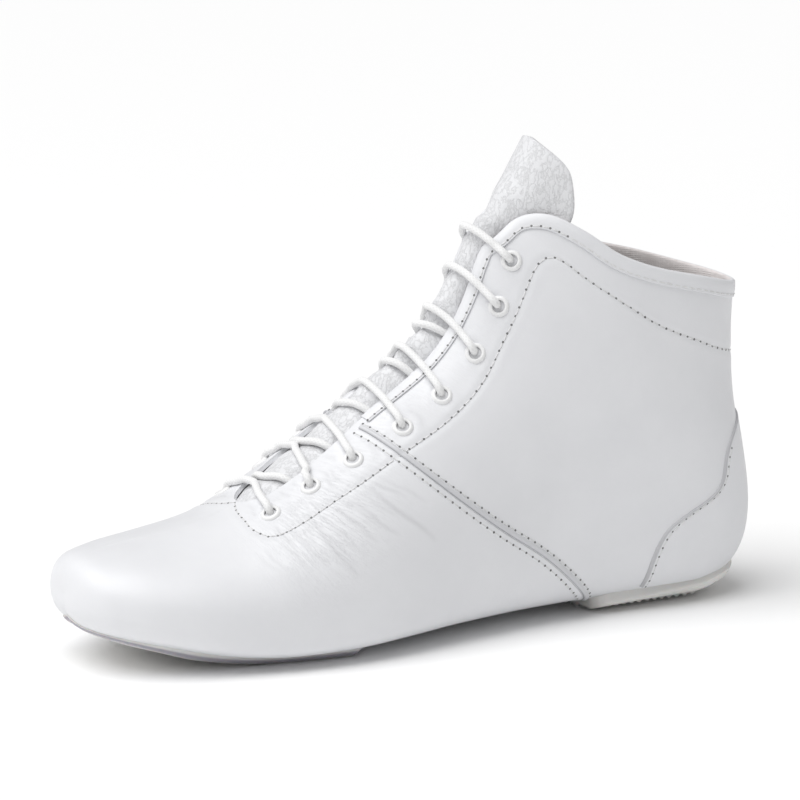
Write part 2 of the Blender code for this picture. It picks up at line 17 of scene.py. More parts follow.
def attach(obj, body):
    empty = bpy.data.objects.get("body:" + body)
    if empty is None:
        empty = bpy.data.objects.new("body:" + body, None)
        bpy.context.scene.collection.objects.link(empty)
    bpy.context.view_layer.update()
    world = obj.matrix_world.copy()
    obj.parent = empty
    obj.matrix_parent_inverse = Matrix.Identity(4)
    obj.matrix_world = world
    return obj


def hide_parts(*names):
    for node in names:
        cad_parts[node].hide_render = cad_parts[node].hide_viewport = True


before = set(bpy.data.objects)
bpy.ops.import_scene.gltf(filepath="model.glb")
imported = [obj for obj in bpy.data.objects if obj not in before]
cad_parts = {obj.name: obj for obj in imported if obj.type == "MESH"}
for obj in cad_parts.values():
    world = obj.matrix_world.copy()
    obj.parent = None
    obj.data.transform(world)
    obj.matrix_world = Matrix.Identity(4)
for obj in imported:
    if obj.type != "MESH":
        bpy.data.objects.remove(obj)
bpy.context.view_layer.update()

MM = 0.001
MEDIAL = -1
LATERAL = 1
SIDES = ((MEDIAL, "medial"), (LATERAL, "lateral"))

# Driving dimensions
WALL = 1.5
FOREFOOT_PATCH = 3.0
HEEL_PATCH = 4.0
INSOLE_GAP = 0.3
INSOLE = 2.0
LASTING_MARGIN = 11.0
TONGUE_LEATHER = 1.6
EYELET_BARREL = 2.4
LACE_RADIUS = 1.32
STITCH_PITCH = 3.3
TREAD_PITCH = 2.35
RUBBER_RISE = (7.0, 14.0)
RUBBER_THIN = 0.4
BINDING_LEATHER = 0.6

# Sections of the last: base x and z, ridge x and z, medial and lateral half-widths, centre offset in y,
# belly, squareness at base and at ridge
SECTIONS = np.array([
    (-130.5, 25.0, -130.5, 25.0, 0.0, 0.0, -3.0, 0.48, 2.0, 2.0),
    (-128.0, 17.0, -128.0, 33.5, 13.5, 14.0, -3.0, 0.46, 2.3, 2.0),
    (-120.0, 12.4, -120.0, 37.8, 26.0, 26.5, -2.5, 0.42, 2.8, 2.1),
    (-104.0, 8.4, -104.0, 41.0, 37.4, 36.8, -1.0, 0.38, 3.8, 2.1),
    (-78.0, 3.5, -79.0, 45.0, 45.2, 43.8, 0.5, 0.34, 4.8, 2.1),
    (-43.0, 2.7, -55.0, 57.0, 48.4, 46.2, 1.0, 0.32, 5.4, 2.0),
    (-8.0, 3.2, -22.5, 79.5, 43.6, 43.2, 1.5, 0.33, 4.6, 1.9),
    (27.0, 3.5, 2.6, 97.0, 37.4, 39.0, 2.0, 0.35, 4.0, 1.9),
    (62.0, 3.8, 14.2, 113.2, 33.8, 36.0, 1.8, 0.37, 3.9, 1.9),
    (94.0, 3.7, 19.0, 124.8, 33.3, 34.5, 1.3, 0.39, 3.7, 1.9),
    (113.0, 5.4, 22.6, 133.4, 33.2, 33.0, 1.0, 0.41, 3.2, 1.9),
    (125.6, 14.6, 25.6, 139.4, 32.7, 32.0, 1.0, 0.43, 2.9, 1.9),
    (128.6, 41.0, 29.0, 143.2, 30.8, 30.0, 1.0, 0.45, 2.8, 1.9),
    (125.2, 65.0, 32.2, 146.3, 28.6, 28.0, 1.0, 0.47, 2.7, 1.9),
    (123.7, 91.0, 35.4, 149.5, 27.7, 27.0, 1.0, 0.50, 2.6, 1.9),
    (125.7, 114.0, 38.9, 153.3, 26.9, 26.4, 1.0, 0.52, 2.5, 1.9),
    (129.5, 142.0, 44.1, 168.6, 26.8, 26.5, 1.0, 0.54, 2.5, 1.9),
])
BASE_SHARE = 0.65

# How much fuller than its sections the toe is: along, and growth away from a point inside the toe. The growth
# is evened out over rows of the grid, and less of it is kept low down behind the tip.
TOE_MIDDLE = (-104.0, 0.0, 13.0)
TOE_GROWTH = np.array([
    (0.0, 1.3), (0.015, 1.7), (0.036, 3.2), (0.062, 2.9), (0.09, 1.4), (0.13, 0.3), (0.16, 0.0), (1.0, 0.0),
])
TOE_EVENED = 13
LOW_LOSS = 0.6
LOW_REACH = 0.30
TOE_TIP = 0.035

# The length that along runs over, and the grid of the form
AXIS = 346.0
FINE = 240
ALONG_STEPS = 520
AROUND_STEPS = 180

# The throat: along, and half its width measured from the ridge
THROAT = np.array([
    (0.264, 0.0), (0.266, 2.8), (0.269, 4.6), (0.276, 7.0), (0.290, 9.6), (0.315, 11.6), (0.345, 12.4),
    (0.385, 11.6), (0.42, 10.6), (0.49, 9.8), (0.56, 9.2), (0.65, 8.4), (0.73, 7.8), (0.86, 7.6),
])
BINDING_START = 0.404

# The collar's rim in the side view, from in front of the throat to behind the heel
RIM = np.array([
    (16.0, 130.0), (25.0, 132.6), (30.0, 136.8), (35.2, 141.2), (40.0, 142.9), (45.5, 142.7),
    (51.5, 139.9), (59.3, 135.0), (65.0, 130.7), (72.0, 127.2), (83.5, 123.2), (102.0, 118.6),
    (119.0, 114.0), (140.0, 110.0),
])
RIM_TILT = 0.05

# Eyelets from the top down: along, and the distance from the ridge
EYELETS = np.array([
    (0.711, 19.9), (0.646, 22.6), (0.561, 23.2), (0.491, 23.9),
    (0.433, 24.8), (0.375, 23.4), (0.329, 21.0), (0.278, 19.8),
])

# The raised seam, on under the arch to the heel patch: around, and along
SEAM = np.array([
    (0.895, 0.396), (0.762, 0.415), (0.646, 0.442), (0.525, 0.479), (0.43, 0.511), (0.353, 0.537),
    (0.26, 0.560), (0.182, 0.573), (0.12, 0.577), (0.06, 0.578), (0.02, 0.578),
])

# The stitched line of the facing: along and distance from the ridge, then along and around below the collar
FACING = np.array([
    (0.262, 0.0), (0.252, 6.5), (0.249, 13.9), (0.249, 22.9), (0.255, 27.1), (0.260, 29.4), (0.272, 30.9),
    (0.290, 31.7), (0.335, 32.5), (0.373, 33.2), (0.413, 33.1), (0.464, 32.9), (0.511, 32.4),
    (0.562, 31.7), (0.601, 30.4), (0.667, 30.0), (0.724, 28.9), (0.750, 28.8), (0.774, 29.4), (0.791, 30.8),
])
FACING_COLLAR = np.array([
    (0.801, 0.787), (0.804, 0.742), (0.811, 0.679), (0.823, 0.575), (0.834, 0.475), (0.850, 0.358),
    (0.864, 0.225), (0.874, 0.108), (0.878, 0.0),
])

# The counter's front edge in the side view, from its top at the back down to the heel patch
COUNTER_EDGE = np.array([
    (125.0, 67.2), (119.0, 63.5), (113.0, 58.5), (109.6, 52.0), (108.4, 46.0),
    (105.8, 42.0), (96.0, 36.6), (89.6, 33.4), (84.4, 29.8), (81.0, 24.8), (78.8, 18.0), (77.7, 9.0),
])

# Outlines in plan
FOREFOOT_REAR = np.array([(-15.0, -11.0), (3.0, 15.0), (3.5, 25.0), (-5.0, 33.5)])
FOREFOOT_START = 0.036
FOREFOOT_ENDS = {MEDIAL: 0.322, LATERAL: 0.345}
FOREFOOT_AROUND = 0.285
HEEL_CORNERS = ((61.5, -22.5, 6.0), (125.0, -22.0, 22.0), (125.0, 25.5, 22.0), (58.0, 28.0, 7.0))
INSOLE_START = 0.07
INSOLE_HEEL = 0.60
INSOLE_AROUND = 0.20
INSOLE_BACK = 114.0
TIP_LENGTH = 0.075
ARC_STEPS = 26

# The tongue between the throat's edges: along, height of its crest over the form, and depth of its face at
# the edges
CREST = np.array([
    (0.236, -1.9, 2.0), (0.264, -1.2, 1.7), (0.29, -0.6, 1.7), (0.33, 0.2, 1.8), (0.375, 0.6, 1.9),
    (0.40, 1.4, 2.2), (0.43, 2.4, 2.6), (0.46, 3.1, 2.6), (0.50, 3.9, 2.6), (0.53, 4.0, 2.6),
    (0.556, 3.7, 2.6), (0.596, 2.8, 2.6), (0.628, 1.8, 2.6), (0.66, 1.1, 2.6), (0.70, 0.7, 2.8),
    (0.75, 0.3, 3.0), (0.81, 0.0, 3.0),
])
CREST_ROUND = 5.0
TAB = (0.73, 0.80)

# The whole tongue: along, depth of its face under the form, half its width, and the arch of the tab above the
# throat as a rise and the distance from the ridge that it reaches
TONGUE = np.array([
    (0.236, 2.6, 16.0, 0.0, 10.0), (0.28, 4.2, 22.0, 1.0, 10.0), (0.36, 4.9, 27.0, 2.2, 10.0),
    (0.55, 4.9, 29.0, 2.5, 10.0), (0.66, 4.9, 30.0, 2.6, 10.0), (0.73, 4.9, 30.0, 2.9, 13.0),
    (0.80, 4.3, 30.0, 3.9, 18.0), (0.86, 3.6, 29.5, 4.8, 22.0), (0.91, 3.1, 28.5, 5.4, 24.0),
    (0.955, 2.2, 24.0, 4.0, 22.0), (0.985, 1.7, 16.0, 1.8, 16.0), (1.0, 1.5, 6.0, 0.6, 10.0),
])

# Flex creases of the vamp, each a soft trough: along and distance from the ridge at its two ends,
# how far its middle bows along, depth and width
CREASES = (
    (0.234, 32.0, 0.255, 46.5, -0.002, 0.16, 1.1),
    (0.246, 33.0, 0.262, 47.0, -0.002, 0.20, 1.0),
    (0.273, 23.9, 0.280, 42.9, -0.002, 0.30, 1.0),
    (0.267, 33.1, 0.283, 49.5, -0.001, 0.28, 1.0),
    (0.284, 30.9, 0.304, 50.8, -0.003, 0.34, 1.0),
    (0.292, 34.0, 0.306, 47.0, -0.001, 0.22, 0.8),
    (0.308, 31.2, 0.326, 59.1, -0.003, 0.42, 1.1),
    (0.314, 37.3, 0.330, 56.4, -0.002, 0.30, 0.9),
    (0.322, 33.5, 0.339, 53.0, -0.002, 0.24, 0.9),
    (0.336, 33.4, 0.360, 53.8, -0.002, 0.38, 1.0),
    (0.346, 34.0, 0.368, 50.0, -0.001, 0.22, 0.8),
    (0.353, 36.6, 0.382, 56.1, -0.002, 0.36, 1.0),
    (0.362, 34.6, 0.388, 51.0, -0.001, 0.24, 0.9),
    (0.369, 33.6, 0.420, 64.4, -0.003, 0.40, 1.1),
    (0.377, 34.2, 0.405, 47.0, -0.001, 0.30, 0.9),
    (0.388, 35.0, 0.424, 52.0, -0.002, 0.22, 0.9),
    (0.297, 22.3, 0.299, 31.1, 0.001, 0.24, 0.9),
    (0.311, 22.3, 0.313, 33.1, 0.001, 0.30, 0.9),
    (0.345, 18.0, 0.345, 31.0, 0.001, 0.32, 1.0),
    (0.354, 19.0, 0.353, 29.0, -0.001, 0.22, 0.8),
    (0.392, 18.0, 0.398, 30.0, 0.001, 0.26, 1.0),
    (0.404, 20.0, 0.408, 31.0, 0.001, 0.18, 0.9),
    (0.449, 19.5, 0.457, 30.5, 0.001, 0.22, 1.0),
    (0.268, 8.0, 0.262, 17.0, 0.001, 0.26, 1.0),
    (0.284, 10.5, 0.285, 17.0, 0.001, 0.24, 0.9),
    (0.302, 12.5, 0.304, 17.5, 0.001, 0.28, 0.9),
    (0.318, 13.0, 0.320, 18.5, 0.001, 0.24, 0.9),
    (0.358, 13.5, 0.362, 20.0, 0.001, 0.26, 1.0),
)

# The share of a crease's depth that is in the shape, the depth that shows darkest, and how dark the painted
# shade in a crease's trough is
CREASE_SHARE = 0.42
DEEPEST_CREASE = 0.42
CREASE_PAINTED_SHADE = 0.40

# Relief of the leather: waves, the groove and the swell beside the facing's stitches as height, distance and
# width, and the dent and the swell round an eyelet
BROAD_WAVES = 0.10
FINE_WAVES = 0.06
FACING_RELIEF = ((-0.22, 0.0, 0.9), (0.10, 2.6, 1.6))
EYELET_DENT = 0.22
EYELET_DENT_REACH = 3.4
EYELET_SWELL = 0.16

# Where the leather shows fine lines: the middle and width of the vamp's bend along, and the facing's share
FLEX_MIDDLE = 0.325
FLEX_WIDTH = 0.075
FACING_FLEX = (0.245, 0.265, 0.45, 0.80), (0, 0.5, 0.4, 0)

# Camera, fitted to the photo: the shoe's angle and scale there, with the frame moved up on the one shoe
TARGET = Vector((0.002, 0.001, 0.070))
YAW = math.radians(26.749)
ELEVATION = math.radians(12.0)
DISTANCE = 1.4
PIXELS_PER_MM = 2.877
PHOTO_SIZE = 800
TARGET_PIXEL = (415.6, 424.0)
SENSOR = 36.0


# The form of the last

def spline(knots, values, at):
    """A natural cubic spline through the rows of values at the knots, read at the places given."""
    steps = np.diff(knots)
    count = len(knots)
    matrix = np.eye(count)
    right = np.zeros_like(values)
    for i in range(1, count - 1):
        matrix[i, i - 1:i + 2] = steps[i - 1], 2 * (steps[i - 1] + steps[i]), steps[i]
        rise_before = (values[i] - values[i - 1]) / steps[i - 1]
        right[i] = 6 * ((values[i + 1] - values[i]) / steps[i] - rise_before)
    bend = np.linalg.solve(matrix, right)
    i = np.clip(np.searchsorted(knots, at, side="right") - 1, 0, count - 2)
    t = (at - knots[i])[:, None]
    step = steps[i][:, None]
    slope = (values[i + 1] - values[i]) / step - step * (2 * bend[i] + bend[i + 1]) / 6
    return values[i] + t * (slope + t * (bend[i] / 2 + t * (bend[i + 1] - bend[i]) / (6 * step)))


def run_along(points):
    """The length run so far at each point of a line."""
    return np.concatenate([[0], np.cumsum(np.linalg.norm(np.diff(points, axis=0), axis=1))])


def smooth_line(points, count):
    """A smooth line of so many points through the points of a short table."""
    knots = run_along(points)
    return spline(knots, points, np.linspace(0, knots[-1], count))


def rows_between(at, run, rows):
    """Rows of values at places between those of their run."""
    return np.stack([np.interp(at, run, column) for column in rows.T], axis=-1)


def even_line(points, step, values=None):
    """Points at even steps along a line, or other rows of values there."""
    run = run_along(points)
    at = np.linspace(0, run[-1], max(2, int(round(run[-1] / step)) + 1))
    return rows_between(at, run, points if values is None else values)


def read_table(table, at):
    """The other columns of a table at places in its first column."""
    return spline(table[:, 0], table[:, 1:], np.atleast_1d(np.asarray(at, float)))


def hump(places, middle, width):
    """1 at the middle, falling smoothly to 0 on both sides."""
    return np.exp(-((places - middle) / width) ** 2)


def unit(vectors):
    return vectors / np.maximum(np.linalg.norm(vectors, axis=-1, keepdims=True), 1e-12)


def section_rows(along):
    """The section table's columns at each place along; a row mirrored past the tip rounds the toe."""
    axis = np.stack([
        SECTIONS[:, 0] * BASE_SHARE + SECTIONS[:, 2] * (1 - BASE_SHARE),
        SECTIONS[:, 1] * BASE_SHARE + SECTIONS[:, 3] * (1 - BASE_SHARE),
        (SECTIONS[:, 4] + SECTIONS[:, 5]) / 2,
    ], axis=1)
    knots = run_along(axis)
    mirrored = SECTIONS[1].copy()
    mirrored[[1, 3]] = SECTIONS[1, [3, 1]]
    mirrored[4:6] *= -1
    return spline(
        np.concatenate([[-knots[1]], knots]),
        np.vstack([mirrored, SECTIONS]),
        np.asarray(along) * knots[-1],
    )


def half_sections(side):
    """Even points from base to ridge in each half-section, and the half-sections' lengths."""
    columns = section_rows(np.linspace(0, 1, ALONG_STEPS + 1)).T[:, :, None]
    base_x, base_z, ridge_x, ridge_z, medial, lateral, centre, belly, base_square, ridge_square = columns
    share = np.linspace(0, 1, FINE)
    quarter = np.pi / 2 * (share - np.sin(2 * np.pi * share) / (2 * np.pi))
    angle = np.concatenate([quarter, np.pi / 2 + quarter[1:]])[None, :]
    low = angle <= np.pi / 2
    power = np.where(low, 2 / base_square, 2 / ridge_square)
    width = np.maximum(medial if side == MEDIAL else lateral, 0)
    y = centre + side * width * np.abs(np.sin(angle)) ** power
    reach = np.abs(np.cos(angle)) ** power
    part = np.where(low, belly * (1 - reach), belly + (1 - belly) * reach)
    x = base_x + (ridge_x - base_x) * part
    z = base_z + (ridge_z - base_z) * part
    curves = np.stack(np.broadcast_arrays(x, y, z), axis=2)
    steps = np.linalg.norm(np.diff(curves, axis=1), axis=2)
    run = np.concatenate([np.zeros((len(steps), 1)), np.cumsum(steps, axis=1)], axis=1)
    at = np.linspace(0, 1, AROUND_STEPS + 1)
    points = [rows_between(at * length[-1], length, curve) for length, curve in zip(run, curves)]
    return np.array(points), run[:, -1]


def make_form():
    """For each side, the form's points on a regular grid with a border all round, normals and lengths."""
    halves = {side: half_sections(side) for side, _ in SIDES}
    around = np.linspace(0, 1, AROUND_STEPS + 1)
    along = np.linspace(0, 1, ALONG_STEPS + 1)
    growth = np.interp(along, *TOE_GROWTH.T)
    growth = np.pad(growth, TOE_EVENED // 2, mode="edge")
    growth = np.convolve(growth, np.ones(TOE_EVENED) / TOE_EVENED, mode="valid")
    low = LOW_LOSS * (1 - np.clip(around / LOW_REACH, 0, 1)) ** 2
    tip = hump(along, 0.0, TOE_TIP)
    growth = growth[:, None] * (1 - low[None, :] * (1 - tip[:, None]))
    for points, _ in halves.values():
        points += unit(points - TOE_MIDDLE) * growth[:, :, None]
    form = {}
    for side, _ in SIDES:
        points, lengths = halves[side]
        other = halves[-side][0]
        wide = np.concatenate([other[:, 1:2], points, other[:, -2:-1]], axis=1)
        wide = np.concatenate([2 * wide[:1] - wide[1:2], wide, 2 * wide[-1:] - wide[-2:-1]], axis=0)
        ahead = wide[2:, 1:-1] - wide[:-2, 1:-1]
        up = wide[1:-1, 2:] - wide[1:-1, :-2]
        normals = side * np.cross(up, ahead)
        normals[0] = (-1, 0, 0)
        form[side] = wide, unit(normals), lengths
    return form


FORM = make_form()


def blend_weights(t):
    """Weights of four neighbouring grid points at a share of the way between the middle two."""
    return (
        (-t ** 3 + 2 * t ** 2 - t) / 2,
        (3 * t ** 3 - 5 * t ** 2 + 2) / 2,
        (-3 * t ** 3 + 4 * t ** 2 + t) / 2,
        (t ** 3 - t ** 2) / 2,
    )


def form_at(along, around, side):
    """Points and outward normals of the form."""
    along, around, side = np.broadcast_arrays(
        np.asarray(along, float), np.asarray(around, float), np.asarray(side)
    )
    shape = along.shape
    along = np.clip(along.ravel(), 0, 1) * ALONG_STEPS
    around = np.clip(around.ravel(), 0, 1) * AROUND_STEPS
    side = side.ravel()
    points = np.zeros((len(along), 3))
    normals = np.zeros((len(along), 3))
    for hand, _ in SIDES:
        mine = side == hand
        wide, grid_normals, _ = FORM[hand]
        i = np.minimum(along[mine].astype(int), ALONG_STEPS - 1)
        j = np.minimum(around[mine].astype(int), AROUND_STEPS - 1)
        s = along[mine] - i
        t = around[mine] - j
        here = np.zeros((len(i), 3))
        for k, weight in enumerate(blend_weights(s)):
            for m, other in enumerate(blend_weights(t)):
                here += (weight * other)[:, None] * wide[i + k, j + m]
        points[mine] = here
        s = s[:, None]
        t = t[:, None]
        near = grid_normals[i, j] * (1 - t) + grid_normals[i, j + 1] * t
        far = grid_normals[i + 1, j] * (1 - t) + grid_normals[i + 1, j + 1] * t
        normals[mine] = near * (1 - s) + far * s
    return points.reshape(shape + (3,)), unit(normals).reshape(shape + (3,))


def on_form(along, around, side, offset=0.0):
    """Points of the form, moved out along its normal by the offset."""
    points, normals = form_at(along, around, side)
    return points + normals * np.asarray(offset, float)[..., None]


def half_length(along, side):
    """The length of the half-section from base to ridge."""
    steps = np.linspace(0, 1, ALONG_STEPS + 1)
    both = [np.interp(along, steps, FORM[hand][2]) for hand, _ in SIDES]
    return np.where(np.asarray(side) == MEDIAL, both[0], both[1])


def around_at(along, from_ridge, side):
    """The around value at a distance from the ridge."""
    return 1 - np.asarray(from_ridge) / np.maximum(half_length(along, side), 0.001)


def over_ridge(along, across, height):
    """Points at signed distances from the ridge, positive on the medial side, and heights over the form."""
    side = np.where(np.asarray(across) >= 0, MEDIAL, LATERAL)
    return on_form(along, around_at(along, np.abs(across), side), side, height)


# Meshes

class Pile:
    """Points and faces of many small things, gathered into one mesh."""

    def __init__(self):
        self.points = []
        self.faces = []
        self.count = 0

    def add(self, points, faces):
        self.points.append(points)
        self.faces += [[index + self.count for index in face] for face in faces]
        self.count += len(points)

    def mesh(self):
        return np.concatenate(self.points), self.faces


def grid_faces(rows, columns, round_columns=False, round_rows=False):
    """Four-sided faces over a grid of points numbered row by row."""
    last_row = rows if round_rows else rows - 1
    last_column = columns if round_columns else columns - 1
    i, j = np.meshgrid(np.arange(last_row), np.arange(last_column), indexing="ij")
    below = (i + 1) % rows
    beside = (j + 1) % columns
    corners = (i * columns + j, i * columns + beside, below * columns + beside, below * columns + j)
    return np.stack(corners, axis=-1).reshape(-1, 4)


def capped(rows, columns):
    """Faces of a bar whose cross-sections are rows of points, with a face over each end."""
    faces = grid_faces(rows, columns, round_columns=True).tolist()
    faces.append(list(range(columns))[::-1])
    faces.append([(rows - 1) * columns + k for k in range(columns)])
    return faces


def signed_volume(points, faces):
    total = 0.0
    for face in faces:
        first = points[face[0]]
        for second, third in zip(face[1:-1], face[2:]):
            total += np.dot(first, np.cross(points[second], points[third]))
    return total


def in_scene(name, data):
    obj = bpy.data.objects.new(name, data)
    bpy.context.scene.collection.objects.link(obj)
    return obj


def new_object(name, points, faces, materials, uv=None, sharp=0.9):
    """A smooth mesh object from points in millimetres."""
    faces = [list(face) for face in faces]
    mesh = bpy.data.meshes.new(name)
    mesh.from_pydata((np.asarray(points) * MM).tolist(), [], faces)
    for material in materials:
        mesh.materials.append(material)
    mesh.shade_smooth()
    mesh.set_sharp_from_angle(angle=sharp)
    if uv is not None:
        layer = mesh.uv_layers.new(name="places")
        corner = np.zeros(len(mesh.loops), int)
        mesh.loops.foreach_get("vertex_index", corner)
        layer.data.foreach_set("uv", np.asarray(uv, np.float32)[corner].ravel())
    return in_scene(name, mesh)


def outward(points, faces):
    """The faces, all reversed if they enclose a negative volume."""
    faces = [list(face) for face in faces]
    if signed_volume(np.asarray(points), faces) < 0:
        faces = [face[::-1] for face in faces]
    return faces


def set_values(obj, name, values):
    """Keeps a number at each point of a mesh, for its material to read."""
    made = obj.data.attributes.new(name, "FLOAT", "POINT")
    made.data.foreach_set("value", np.asarray(values, np.float32))


def dress(obj, slot, *nodes):
    """Attaches an object to the shoe's root, and hides the imported parts of the nodes given."""
    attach(obj, "root")
    if nodes:
        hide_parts(*nodes)
    return obj


def tube(path, radius, sides, up=None):
    """A round bar along a path with flat ends; returns points, faces and places along and around."""
    path = np.asarray(path, float)
    ahead = unit(np.gradient(path, axis=0))
    first = np.array([0.0, 0.0, 1.0]) if up is None else np.asarray(up, float)
    normal = unit(first - ahead[0] * np.dot(first, ahead[0]))
    normals = []
    for direction in ahead:
        normal = unit(normal - direction * np.dot(normal, direction))
        normals.append(normal)
    normals = np.array(normals)
    beside = np.cross(ahead, normals)
    angle = np.linspace(0, 2 * np.pi, sides, endpoint=False)
    radius = np.broadcast_to(np.asarray(radius, float), (len(path),))[:, None, None]
    spokes = normals[:, None] * np.cos(angle)[None, :, None] + beside[:, None] * np.sin(angle)[None, :, None]
    points = (path[:, None] + radius * spokes).reshape(-1, 3)
    run = np.repeat(run_along(path), sides)
    turn = np.tile(angle / (2 * np.pi), len(path))
    return points, capped(len(path), sides), np.stack([run, turn], axis=1)


# Materials

def grey(value):
    return (value, value, value)


class Look:
    """A procedural material. Its methods make nodes and return their outputs."""

    def __init__(self, name, colour, roughness, specular=0.5):
        self.material = bpy.data.materials.new(name)
        self.material.use_nodes = True
        self.tree = self.material.node_tree
        self.shader = self.tree.nodes["Principled BSDF"]
        self.place = self.node("TexCoord", {}).outputs["Object"]
        self.normal = None
        self.give({"Base Color": (*colour, 1.0), "Roughness": roughness, "Specular IOR Level": specular})

    def feed(self, node, inputs):
        """Gives a node's inputs values, or the outputs of other nodes."""
        for key, value in inputs.items():
            if isinstance(value, bpy.types.NodeSocket):
                self.tree.links.new(value, node.inputs[key])
            else:
                node.inputs[key].default_value = value

    def node(self, kind, inputs, **settings):
        made = self.tree.nodes.new("ShaderNode" + kind)
        for name, value in settings.items():
            setattr(made, name, value)
        self.feed(made, inputs)
        return made

    def give(self, inputs):
        self.feed(self.shader, inputs)

    def noise(self, scale, detail=2.0, roughness=0.5, place=None):
        place = self.place if place is None else place
        inputs = {"Vector": place, "Scale": scale, "Detail": detail, "Roughness": roughness}
        return self.node("TexNoise", inputs).outputs["Fac"]

    def cells(self, scale, feature="F1"):
        made = self.node("TexVoronoi", {"Vector": self.place, "Scale": scale}, feature=feature)
        return made.outputs["Distance"]

    def stretched(self, place, scale):
        return self.node("Mapping", {"Vector": place, "Scale": scale}).outputs["Vector"]

    def attribute(self, name, output="Fac"):
        return self.node("Attribute", {}, attribute_name=name).outputs[output]

    def reckon(self, operation, first, second=0.0):
        """One sum, of outputs or numbers."""
        return self.node("Math", {0: first, 1: second}, operation=operation).outputs["Value"]

    def furrows(self, place, detail, width):
        """Thin wandering lines: 0 in a line and 1 away from it."""
        level = self.noise(1.0, detail, 0.55, place)
        away = self.reckon("ABSOLUTE", self.reckon("SUBTRACT", level, 0.5))
        inputs = {"Value": away, "From Max": width}
        return self.node("MapRange", inputs, interpolation_type="SMOOTHSTEP").outputs["Result"]

    def ramp(self, factor, dark, light, span=(0.3, 0.7)):
        """A dark colour where the factor is below the span, a light one above it, and a blend between."""
        made = self.node("ValToRGB", {"Fac": factor})
        for element, position, colour in zip(made.color_ramp.elements, span, (dark, light)):
            element.position = position
            element.color = (*colour, 1.0)
        return made.outputs["Color"]

    def shaded(self, colour, amount, dark):
        """A colour blended towards a dark one."""
        return self.node("Mix", {0: amount, 6: colour, 7: (*dark, 1.0)}, data_type="RGBA").outputs[2]

    def bump(self, height, strength, distance):
        """Adds a bump of a height in millimetres over the earlier ones."""
        inputs = {"Height": height, "Strength": strength, "Distance": distance * MM}
        if self.normal is not None:
            inputs["Normal"] = self.normal
        self.normal = self.node("Bump", inputs).outputs["Normal"]
        self.give({"Normal": self.normal})

    def gloss(self, scale, low, high):
        """A roughness that varies between two values."""
        self.give({"Roughness": self.ramp(self.noise(scale, 3.0), grey(low), grey(high))})


LEATHER_TINTS = (0.775, 0.78, 0.802), (0.81, 0.815, 0.836)


def make_leather():
    """Smooth white leather: fine pores, faint mottling, and fine lines where the vamp bends, with painted
    shade in the lines and in the creases' troughs.
    """
    look = Look("smooth_white_leather", (0.80, 0.80, 0.815), 0.42)
    tint = look.ramp(look.noise(38.0, 4.0, 0.6), *LEATHER_TINTS)
    bend = look.attribute("bend", "Vector")
    flex = look.attribute("flex")
    lines = look.furrows(look.stretched(bend, (0.70, 0.085, 1.0)), 3.0, 0.045)
    fine = look.furrows(look.stretched(bend, (1.6, 0.20, 1.0)), 2.0, 0.060)
    # Painted shade: the fine lines and the creases' troughs are darkened.
    in_line = look.reckon("SUBTRACT", 1.0, look.reckon("MULTIPLY", lines, fine))
    crease_shade = look.reckon("MULTIPLY", look.reckon("MULTIPLY", in_line, flex), 0.15)
    crease_shade = look.reckon("MAXIMUM", crease_shade, look.attribute("crease"))
    look.give({"Base Color": look.shaded(tint, crease_shade, (0.50, 0.50, 0.515))})
    look.give({"Coat Weight": 0.08, "Coat Roughness": 0.35})
    look.gloss(90.0, 0.38, 0.50)
    look.bump(look.noise(60.0), 0.25, 0.5)
    look.bump(look.cells(1100.0), 0.22, 0.08)
    look.bump(look.noise(2600.0), 0.15, 0.05)
    look.bump(look.reckon("MULTIPLY", lines, flex), 0.7, 0.12)
    look.bump(look.reckon("MULTIPLY", fine, flex), 0.5, 0.05)
    return look.material


def make_trim_leather():
    """The same leather for the sewn-on strips and the counter: greyer along the counter's edge, with painted
    shade in and beside the seams' grooves and along the binding's lower edge.
    """
    look = Look("trim_white_leather", (0.80, 0.80, 0.812), 0.45)
    tint = look.ramp(look.noise(45.0, 4.0, 0.6), *LEATHER_TINTS)
    # The shade attribute is painted shade on the seams and the binding, and the grey of the counter's edge.
    look.give({"Base Color": look.shaded(tint, look.attribute("shade"), (0.30, 0.30, 0.32))})
    look.give({"Coat Weight": 0.06, "Coat Roughness": 0.35})
    look.gloss(110.0, 0.40, 0.52)
    look.bump(look.noise(150.0), 0.25, 0.25)
    look.bump(look.cells(1000.0), 0.22, 0.08)
    look.bump(look.noise(2400.0), 0.15, 0.05)
    return look.material


def make_pebbled_leather():
    """Soft grained leather with a net of fine crinkles, with painted shade in the grain's hollows and the
    crinkles.
    """
    look = Look("pebbled_tongue_leather", (0.78, 0.78, 0.79), 0.5)
    pebbles = look.reckon("MULTIPLY", look.cells(1000.0, "DISTANCE_TO_EDGE"), 4.0)
    net = look.reckon("MULTIPLY", look.reckon("MINIMUM", pebbles, 1.0), 0.35)
    crinkles = look.furrows(look.stretched(look.place, (520.0, 520.0, 260.0)), 5.0, 0.07)
    height = look.reckon("ADD", net, crinkles)
    # Darker where the grain is low: painted shade.
    tint = look.ramp(height, (0.665, 0.668, 0.68), (0.775, 0.778, 0.795), (0.1, 1.0))
    look.give({"Base Color": tint})
    look.bump(look.noise(140.0, 3.0), 0.5, 0.5)
    look.bump(height, 0.6, 0.16)
    look.bump(look.noise(2600.0), 0.2, 0.06)
    return look.material


def make_rubber():
    """Matt rubber that lets a little light in, with painted shade along the forefoot patch's edge."""
    look = Look("off_white_rubber", (0.76, 0.75, 0.72), 0.55)
    tint = look.ramp(look.noise(30.0, 5.0, 0.65), (0.78, 0.77, 0.745), (0.83, 0.82, 0.80))
    look.give({"Base Color": look.shaded(tint, look.attribute("shade"), (0.30, 0.285, 0.34))})
    look.give({"Subsurface Weight": 0.12, "Subsurface Scale": 0.0015})
    look.gloss(300.0, 0.48, 0.66)
    look.bump(look.noise(1500.0, 3.0), 0.18, 0.08)
    return look.material


